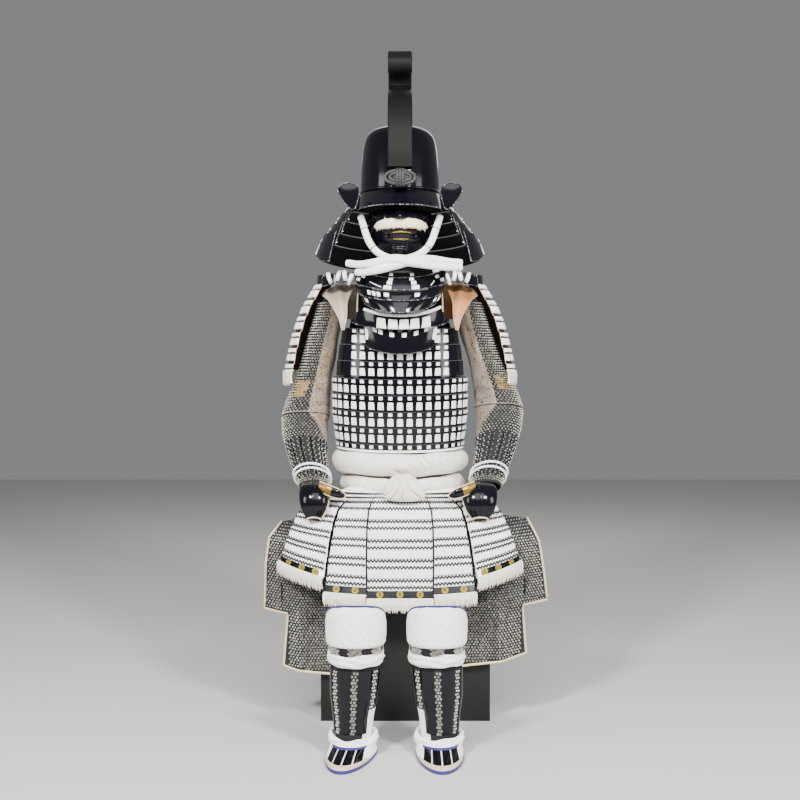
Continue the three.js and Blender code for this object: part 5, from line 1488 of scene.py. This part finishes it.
z = np.concatenate([np.linspace(1320, 1268, 22), np.linspace(1266, 1236, 16), np.linspace(1234, 1193, 24)])
angle = np.linspace(-86, 86, 97)
grid = face_at(angle, z[:, None])
mouth_x, mouth_z = grid[..., 0], grid[..., 2]
lips = np.hypot((mouth_x - 3) / 39, (mouth_z - 1251) / 13)
grid[..., 1] -= 3.0 * bump(lips - 1.1, 0.16)
cell = (lips[:-1, :-1] + lips[1:, 1:]) / 2
mask = new_piece("mask_face", grid, black_lacquer, ["mask"], sharp=60)
work = bmesh.new()
work.from_mesh(mask.data)
inside = [face for face, hole in zip(work.faces, (cell < 0.93).ravel()) if hole]
bmesh.ops.delete(work, geom=inside, context="FACES")
work.to_mesh(mask.data)
work.free()
thicken = mask.modifiers.new("wall", "SOLIDIFY")
thicken.thickness, thicken.offset = 0.002, -1
whole = mask.evaluated_get(bpy.context.evaluated_depsgraph_get())
mask.data = bpy.data.meshes.new_from_object(whole)
mask.modifiers.clear()

# Two thin gilt rows of teeth line the lips, over a dark violet-brown sheet behind the mouth that is painted
# shade: it stands for the dark inside of the open mouth.
mouth_shade, shader = new_material("painted_mouth_shade", "#161216", 0.75, Specular_IOR_Level=0.1)
place = place_on(mouth_shade)
uneven = add(mouth_shade, "TexNoise", {"Vector": place, "Scale": 60.0})
tinted(mouth_shade, shader, uneven.outputs["Fac"], "#100c10", "#1f1a1f")
shade_sheet_z = np.linspace(1272, 1230, 9)[:, None]
new_piece("mouth_shade_sheet", face_at(np.linspace(-42, 42, 31), shade_sheet_z, -7.0, False), mouth_shade,
          wall=1)
for row, (tooth_z, arch, tall) in {"upper": (1261.5, 3.5, 6), "lower": (1240.5, -0.5, 3.6)}.items():
    at = np.linspace(-27, 30, 97)
    tooth = np.abs(np.sin(np.radians((at + 27) / 57 * 180 * 11))) ** 0.5
    share = np.linspace(1, -1, 7)[:, None]
    out = -3.4 + 1.6 * tooth * (1 - 0.5 * share ** 4)
    line_z = tooth_z - arch * ((at - 1.5) / 28) ** 2
    new_piece(f"teeth_{row}", face_at(at, line_z + share * tall / 2, out, False), gilt_brass,
              wall=1.5, sharp=60)

# Bleached animal hair, set in rows of holes along the upper lip.
ivory_hair, shader = new_material("ivory_hair", "#efe6cf", 0.6, Sheen_Weight=0.4)
place = place_on(ivory_hair)
strands = add(ivory_hair, "TexNoise", {"Vector": place, "Scale": 300.0, "Detail": 2.0})
tinted(ivory_hair, shader, strands.outputs["Fac"], "#dac8a0", "#f9eed4")
# The brush of hair is one full arched roll, thinner towards its ends, with loose strands on it.
at = np.sin(np.radians(np.linspace(-90, 90, 45)))
route = face_at(at * 58 + 3, 1283 - 5 * at ** 2, 2.0, False)
full = np.maximum(0.05, 1 - np.abs(at) ** 3) ** 0.55
new_piece("moustache_body", tube(route, 6.5 * full, 13.5 * full, 20, (0, -1, 0.1)), ivory_hair,
          ["moustache"], around=True, poles=True, sharp=80)
draw = np.random.default_rng(5)
count = 360
at = draw.uniform(-0.84, 0.84, count)
start = draw.uniform(-1, 1, count)
middle_z = 1283 - 5 * at ** 2
proud = 8.2 * np.sqrt(np.clip(1 - start ** 2 * 0.6, 0, 1)) * (1 - 0.45 * at ** 2)
root = face_at(at * 58 + 3, middle_z + 9 * start, proud, False)
sweep = np.sign(at) * draw.uniform(1, 6, count) * np.abs(at) ** 0.6
tip = face_at(at * 58 + 3 + sweep, middle_z + 9 * start - draw.uniform(5, 9, count), proud - 0.4, False)
lift = (root - face_at(at * 58 + 3, middle_z + 9 * start, proud - 1.2, False)) * 0.7
tufts("moustache_hair", root, tip, lift, 0.8, ivory_hair)


# ---- Shoulder shields -------------------------------------------------------------------------
# Large shields of laced lames hang over the upper arms, curved round them. The outer face is
# covered with white lacing, the inner one is lined, and the foot is edged with white fur.

SHIELD = np.array([[160, 1152], [194, 1160], [223, 1158], [224, 1134], [243, 1102], [261, 1070],
                   [274, 1038], [286, 1000], [298, 950], [306, 908]], float)
SHIELD_CURVE = 112


def shield_at(angle, share, side, out=0.0):
    """The shield: its outer line runs down from the crown, and each height bends back round
    the arm on a circle of 112 mm. `angle` is in degrees towards the back on the viewer's
    right."""
    at = share * (len(SHIELD) - 1)
    x, z = (np.interp(at, np.arange(len(SHIELD)), SHIELD[:, k]) for k in (0, 1))
    turn = np.radians(angle) * side
    x = x + out - SHIELD_CURVE * (1 - np.cos(turn))
    return np.stack(np.broadcast_arrays(side * x, 6 - side * SHIELD_CURVE * np.sin(-turn), z), -1)


# The lining: black cloth inside, turned over in front as an orange-brown border.
for name, side in (("left", -1), ("right", 1)):
    first, last = (-36, 44)
    turn = np.linspace(first, last, 41)[::side]
    share = np.linspace(0, 1, 82)[:, None]
    # Below the crown the line falls in five lames, each standing out at its top.
    z_here = np.interp(share * 9, np.arange(10), SHIELD[:, 1])
    lame = np.clip((1134 - z_here) / 42, 0, 5.39)
    step = np.where(z_here < 1134, 2.2 * (1 - lame % 1), 1.0)
    grid = shield_at(turn, share, side, step - 1.0)
    new_piece(f"shield_lames_{name}", grid, [black_lacquer, black_hemp],
              [f"shoulder_shield_{name}"], wall=2, sharp=40)
    surface = lambda a, v, side=side: shield_at(side * a, v, side, 1.0)
    share_of = lambda height: np.interp(-height, -SHIELD[2:, 1], np.arange(2, 10) / 9)
    places = []
    for number in range(6):
        top = 1134 - 42 * number
        if top - 8 < 910:
            break
        for a in np.linspace(first + 3, last - 3, 9):
            places.append((side * a, share_of(top - 8), 3.6, 3.6, share_of(top - 13) - share_of(top - 8)))
            if top - 34 > 906:
                places.append((side * a, share_of(top - 27), 3.6, 4.4,
                               share_of(top - 36) - share_of(top - 27)))
    blocks(f"shield_lacing_{name}", surface, np.array(places).T, 1, 1, 5.0, silk_braid)
    # White cords tie the crown plate to the shoulder, over its rim.
    for number, (x, z) in enumerate(((126, 1150), (142, 1157), (158, 1156), (176, 1151))):
        x = x if side > 0 else x + (4, 2, 4, 8)[number]
        lean = (6, -3, 4, -6)[number]
        route = smooth_line([[side * (x + lean), -96, z - 20], [side * x, -104, z - 9],
                             [side * (x - lean * 0.6), -98, z + 3], [side * (x - lean), -74, z + 9]], 17)
        new_piece(f"shield_tie_{name}_{number + 1}", tube(route, 3.0, 5.4, 10, (0, -1, 0.3)),
                  silk_braid, around=True, poles=True)
    # Its front edge shows the lining turned over, stepping out at each lame.
    at = np.linspace(0.22, 0.995, 83)
    lame = np.clip((1134 - np.interp(at * 9, np.arange(10), SHIELD[:, 1])) / 42, 0, 5.39)
    edge = shield_at(first, at, side, 2.2 * (1 - lame % 1) - 1.6)
    new_piece(f"shield_border_{name}", tube(edge, 1.4, 1.7, 8, (side, -0.6, 0)), orange_satin,
              around=True, poles=True)
    # The crown's top edge is a painted highlight line.
    top_edge = shield_at(turn, 0.005, side, 1.0)
    new_piece(f"shield_crown_{name}", tube(top_edge, 1.2, 1.6, 8, (0, 0, 1)), edge_highlight,
              around=True, poles=True)
    # The crown plate in front of the shoulder: a lacquered, lightly domed leaf, tied at its top.
    across = np.linspace(-1, 1, 25)
    down = np.linspace(0, 1, 9)[:, None]
    leaf_x = 161.5 + 43.5 * across
    leaf_z = 1161 - 6 * across ** 2 - 5 * across + (-30 + 5 * across ** 2) * down
    leaf_y = -88 - 8 * (1 - across ** 2) - 8 * down + 20 * np.abs(across) ** 3 * (across > 0)
    leaf = np.stack(np.broadcast_arrays(side * leaf_x, leaf_y, leaf_z), -1)[:, ::side]
    new_piece(f"shoulder_leaf_{name}", leaf, [black_lacquer, black_hemp], wall=2)
    # The leaf's rim is a painted highlight line.
    rim = np.concatenate([leaf[0], leaf[1:, -1], leaf[-1, -2::-1], leaf[-2:0:-1, 0]])
    new_piece(f"shoulder_leaf_rim_{name}", tube(rim, 1.0, 1.2, 6, (0, -1, 0), closed=True),
              edge_highlight, around=True, poles=True)
    # The fur at the foot.
    body_rows = ((908, 0.5), (905, 5), (890, 7.5), (876, 7), (870, 5))
    body = np.stack([shield_at(turn, 1.0, side, out) * [1, 1, 0] + [0, 0, z] for z, out in body_rows])
    new_piece(f"shield_fur_body_{name}", body, ivory_fur, wall=6, sharp=80)
    draw = np.random.default_rng(11 + side)
    count = 360
    a = draw.uniform(first, last, count)
    start = draw.choice([904, 896, 886], count) + draw.uniform(-2, 2, count)
    out = draw.uniform(5.5, 7.5, count)[:, None] * [side, 0, 0]
    root = shield_at(a, 1.0, side) * [1, 1, 0] + out + np.stack([0 * a, 0 * a, start], -1)
    drop = np.minimum(start - 863, draw.uniform(20, 27, count))
    tip = root - np.stack([draw.uniform(-2, 3, count) * side, draw.normal(0, 2.0, count), drop], -1)
    proud = np.stack([side * np.cos(np.radians(a)), np.sin(np.radians(a)), 0 * a], -1) * 2.0
    tufts(f"shield_fur_{name}", root, tip, proud, 1.5, ivory_fur)


# ---- Helmet -----------------------------------------------------------------------------------
# A smooth bowl of lacquered iron with a small brim. Five wide lames hang round it as a neck
# guard, and its ends turn back beside the face.

BOWL = np.array([[1550, 0, 0], [1548, 46, 56], [1541, 73, 89], [1528, 88, 106], [1507, 96, 115],
                 [1465, 101, 121], [1415, 104, 124], [1375, 105, 125]], float)
BOWL_Y = -15

rows = smooth_line(BOWL, 40)
rows[0, 1:] = 0
turn = np.linspace(-180, 180, 97)[:-1]
grid = around(turn, rows[:, 1:2], rows[:, 2:3], rows[:, 0:1], BOWL_Y)
new_piece("helmet_shell", grid, black_lacquer, ["helmet_bowl"], around=True,
          poles=True, wall=2)
base = around(turn, 105.5, 125.5, 1378.0, BOWL_Y)
new_piece("helmet_base_band", tube(base, 1.2, 3.0, 8, base * [1, 1, 0] - [0, BOWL_Y, 0], closed=True),
          black_lacquer, around=True, poles=True)


def brim_at(angle, share, out=0.0):
    """The brim: straight lines from the bowl's base down and forwards to a squarer ring."""
    inner = around(angle, 105.0, 125.0, 1372.6 + out, BOWL_Y)
    outer = around(angle, 114.0, 170.0, 1325.0 + out, BOWL_Y, square=2.5)
    return inner + (outer - inner) * np.asarray(share)[..., None]


turn = np.linspace(-82, 82, 81)
share = np.linspace(0, 1, 17)[:, None]
new_piece("helmet_brim_plate", brim_at(turn, share, 2.4 * np.sin(share * math.pi) * 0.8), black_lacquer,
          ["helmet_brim"], wall=2)
# The brim's lip is a painted highlight line.
lip = brim_at(turn, np.full(81, 0.995), 0.4)
new_piece("helmet_brim_edge", tube(lip, 1.4, 1.6, 8, lip * [1, 1, 0] - [0, BOWL_Y, -200]), edge_highlight,
          around=True, poles=True)

NECK_LAMES = np.array([[109, 1372, 137, 1335, 85, 0], [134, 1345, 160.5, 1309, 60, 3],
                       [157.5, 1320, 183, 1280, 57, 9], [180, 1291, 205, 1254, 55, 16],
                       [204, 1264, 226, 1214, 54, 26]], float)


def neck_at(angle, share, number, out=0.0):
    """A neck-guard lame: a ring 14 mm deeper than wide, which widens evenly from its top edge
    to its lower one, hangs lower behind by the cosine, and dips at its two front ends on a
    bell curve."""
    top_half, top, half, foot, start, behind = NECK_LAMES[number]
    above = NECK_LAMES[number - 1, 5] if number else 0
    wide = top_half + (half - top_half) * share + out
    back = np.maximum(0, -np.cos(np.radians(angle)))
    dip = bump(np.abs(angle - 180) - (180 - start), 22) * share * (number + 2) * 5
    z = top + (foot - top) * share - (above + (behind - above) * share) * back - dip
    return around(angle, wide, wide + 14, z, BOWL_Y + 4)


for number in range(5):
    start = NECK_LAMES[number, 4]
    turn = np.linspace(start, 360 - start, 121)
    share = np.linspace(0, 1, 9)[:, None]
    grid = neck_at(turn, share, number, 1.4 * np.sin(share * math.pi) - 0.2)
    new_piece(f"neck_lame_{number + 1}", grid, [black_lacquer, black_hemp],
              [f"neck_guard_{number + 1}"], wall=2)
    # A rim of painted highlight follows its two front ends and its foot.
    down = np.linspace(0.06, 0.97, 9)
    rim = np.concatenate([neck_at(start, down, number, 0.6), neck_at(turn, 0.99, number, 0.6),
                          neck_at(360 - start, down[::-1], number, 0.6)])
    new_piece(f"neck_rim_{number + 1}", tube(rim, 0.9, 1.1, 6, rim * [1, 1, 0] - [0, BOWL_Y, 0]),
              edge_highlight, around=True, poles=True)
    # White stitches run inside along its lower edge, over the lame below.
    if number < 4:
        seam = neck_at(turn, 0.9, number, -3.2)
        new_piece(f"neck_seam_{number + 1}", tube(seam, 1.5, 1.7, 6, seam * [1, 1, 0] - [0, BOWL_Y, 0]),
                  silk_braid, around=True, poles=True)
    # Lacing: short white bars in pairs down each lame, from the sides round behind.
    surface = lambda a, v, number=number: neck_at(a, v, number, 0.9)
    around_mm = math.pi * NECK_LAMES[number, 2] / 180
    columns = np.arange(90, 271, 180 / round(180 * around_mm / 24))
    places = [(a + sign * 4.6 / around_mm, 0.66, *[3.6 / around_mm] * 2, 0.27)
              for a in columns for sign in (-1, 1)]
    places += [(a, 0.22, *[3.4 / around_mm] * 2, 0.09) for a in columns]
    blocks(f"neck_lacing_{number + 1}", surface, np.array(places).T, 1, 1, 2.4, silk_braid)

# The turned-back ears: thin plates with a raised rim.
for name, side in (("left", -1), ("right", 1)):
    outline = smooth_line([[120, 1322], [138, 1332], [152, 1352], [161, 1370], [156, 1384],
                           [140, 1390], [120, 1388], [106, 1374], [110, 1342]], 72, closed=True)
    middle = np.array([134.0, 1364.0])
    share = np.array([0, 0.3, 0.6, 0.85, 1.0, 1.0, 0.6, 0])[:, None, None]
    depth = np.array([-1.8, -1.6, -1.0, -0.4, 0, 2.6, 2.6, 2.6])[:, None]
    flat = middle + (outline[None] - middle) * share
    flat = flat[:, ::side]
    grid = np.stack([side * flat[..., 0], np.broadcast_to(-115.4 + depth, flat[..., 0].shape),
                     flat[..., 1]], -1)
    new_piece(f"turn_back_plate_{name}", grid, black_lacquer, [f"turn_back_{name}"],
              around=True, poles=True, sharp=50)
    # The ear's rim is a painted highlight line.
    route = np.stack([side * outline[:, 0], np.full(72, -116.2), outline[:, 1]], -1)
    centre = [side * middle[0], -116.2, middle[1]]
    new_piece(f"turn_back_rim_{name}", tube(route, 1.2, 1.4, 8, route - centre, closed=True),
              edge_highlight, around=True, poles=True)


# ---- Crest ------------------------------------------------------------------------------------
# A fern frond cut from a thick board and lacquered black: it rises from the front of the bowl
# and curls back over it. A braided cord is knotted in flat ovals at its foot.

FROND = np.array([[-172, 1420, 20], [-170, 1470, 23], [-156, 1530, 26], [-112, 1588, 27],
                  [-40, 1620, 26], [30, 1640, 25], [68, 1676, 23], [48, 1715, 21], [-10, 1728, 20],
                  [-64, 1724, 20], [-92, 1704, 24]], float)
FROND_HALF_WIDTH = 31.5

# The board is finished in a dull black with a green cast, rubbed down, so it barely reflects.
dull_black, shader = new_material("rubbed_black_satin_lacquer", "#080a07", 0.6,
                                  Specular_IOR_Level=0.15)
place = place_on(dull_black)
grain = add(dull_black, "TexNoise", {"Vector": place, "Scale": 30.0, "Detail": 3.0})
tinted(dull_black, shader, grain.outputs["Fac"], "#050605", "#0c0f0b")

line = smooth_line(FROND, 145)
along = np.gradient(line[:, :2], axis=0)
along /= np.linalg.norm(along, axis=1, keepdims=True)
# The rounded bud: past the end, the half height shrinks by the cosine as the middle moves on
# by the sine.
tip = np.radians(np.linspace(0, 90, 12)[1:])[:, None]
middle = np.concatenate([line[:, :2], line[-1, :2] + line[-1, 2] * np.sin(tip) * along[-1]])
half = np.concatenate([line[:, 2:], line[-1, 2] * np.maximum(np.cos(tip), 0.02)])
along = np.concatenate([along, np.repeat(along[-1:], 11, 0)])
normal = np.stack([-along[:, 1], along[:, 0]], -1)
# The board's section: a rectangle with corners rounded to 4 mm.
corner = np.radians(np.array([0, 22.5, 45, 67.5, 90]))
section = []
for number, (sx, sn) in enumerate(((1, 1), (-1, 1), (-1, -1), (1, -1))):
    a = corner + math.pi / 2 * number
    section += [(sx, sn, math.cos(k), math.sin(k)) for k in a]
sx, sn, cx, cn = np.array(section).T
radius = np.minimum(4.0, half * 0.6)
x = sx * (FROND_HALF_WIDTH - 4.0) + 4.0 * cx + 0 * half
reach = sn * (half - radius) + radius * cn
ring_points = middle[:, None] + normal[:, None] * reach[..., None]
grid = np.concatenate([x[..., None], ring_points], -1)
caps = [np.broadcast_to(np.append(0.0, middle[k]), (1, 20, 3)) for k in (0, -1)]
grid = np.concatenate([caps[0], grid, caps[1]])
new_piece("crest_board", grid, dull_black, ["crest"], around=True, poles=True,
          sharp=50)

for number, (wide, tall, y) in enumerate(((38, 17.5, -181.0), (26, 11, -184.0), (13, 4.6, -186.0))):
    turn = np.radians(np.linspace(0, 360, 65)[:-1])
    route = np.stack([wide * np.cos(turn), np.full(64, y) + 5 * (np.cos(turn)) ** 2,
                      1395 + tall * np.sin(turn)], -1)
    rings = tube(route, 4.0, 4.2, 10, route - [0, -150, 1395], closed=True)
    flat = tube_flat(length_of(route), len(rings), 10, 26.0)
    new_piece(f"crest_knot_ring_{number + 1}", rings, black_cord,
              ["crest_knot"] if number == 0 else (), around=True, poles=True, flat=flat, sharp=80)
for number, x in enumerate((-7.0, 0.0, 7.0)):
    turn = np.radians(np.linspace(0, 360, 33)[:-1])
    route = np.stack([np.full(32, x), -180 - 10.5 * np.cos(turn), 1395 + 21 * np.sin(turn)], -1)
    rings = tube(route, 3.2, 3.4, 8, route - [x, -180, 1395], closed=True)
    flat = tube_flat(length_of(route), len(rings), 8, 20.0)
    new_piece(f"crest_knot_wrap_{number + 1}", rings, black_cord, around=True,
              poles=True, flat=flat, sharp=80)


# ---- Floor and light --------------------------------------------------------------------------
# A plain pale floor. Two small lamps in front give the lacquer its narrow bright streaks, and
# broad weak ones above, behind and at the sides fill in.

floor_paint, _ = new_material("pale_floor_paint", "#bdbcb9", 0.75)
bpy.ops.mesh.primitive_plane_add(size=14, location=(0, 0, 0))
floor = bpy.context.object
floor.name = "floor"
floor.data.materials.append(floor_paint)


def lamp(name, place, aim, size, power):
    """A soft square lamp at a place, aimed at a point."""
    data = bpy.data.lights.new(name, "AREA")
    data.energy, data.size = power, size
    light = bpy.data.objects.new(name, data)
    light.location = place
    light.rotation_euler = (Vector(aim) - Vector(place)).to_track_quat("-Z", "Y").to_euler()
    bpy.context.scene.collection.objects.link(light)


aim = (0, 0, 0.85)
lamp("lamp_key_left", (-1.5, -2.9, 2.8), aim, 0.5, 205)
lamp("lamp_key_right", (1.6, -2.8, 2.5), aim, 0.5, 180)
lamp("lamp_fill", (0.2, -3.4, 3.6), aim, 2.8, 150)
lamp("lamp_left", (-3.2, -1.7, 1.6), aim, 1.2, 52)
lamp("lamp_right", (3.2, -1.6, 1.5), aim, 1.2, 52)
lamp("lamp_behind", (0.4, 3.4, 3.2), aim, 2.4, 30)

world = bpy.data.worlds.new("studio")
bpy.context.scene.world = world
world.use_nodes = True
world.node_tree.nodes["Background"].inputs["Color"].default_value = (0.93, 0.94, 0.96, 1)
world.node_tree.nodes["Background"].inputs["Strength"].default_value = 0.25
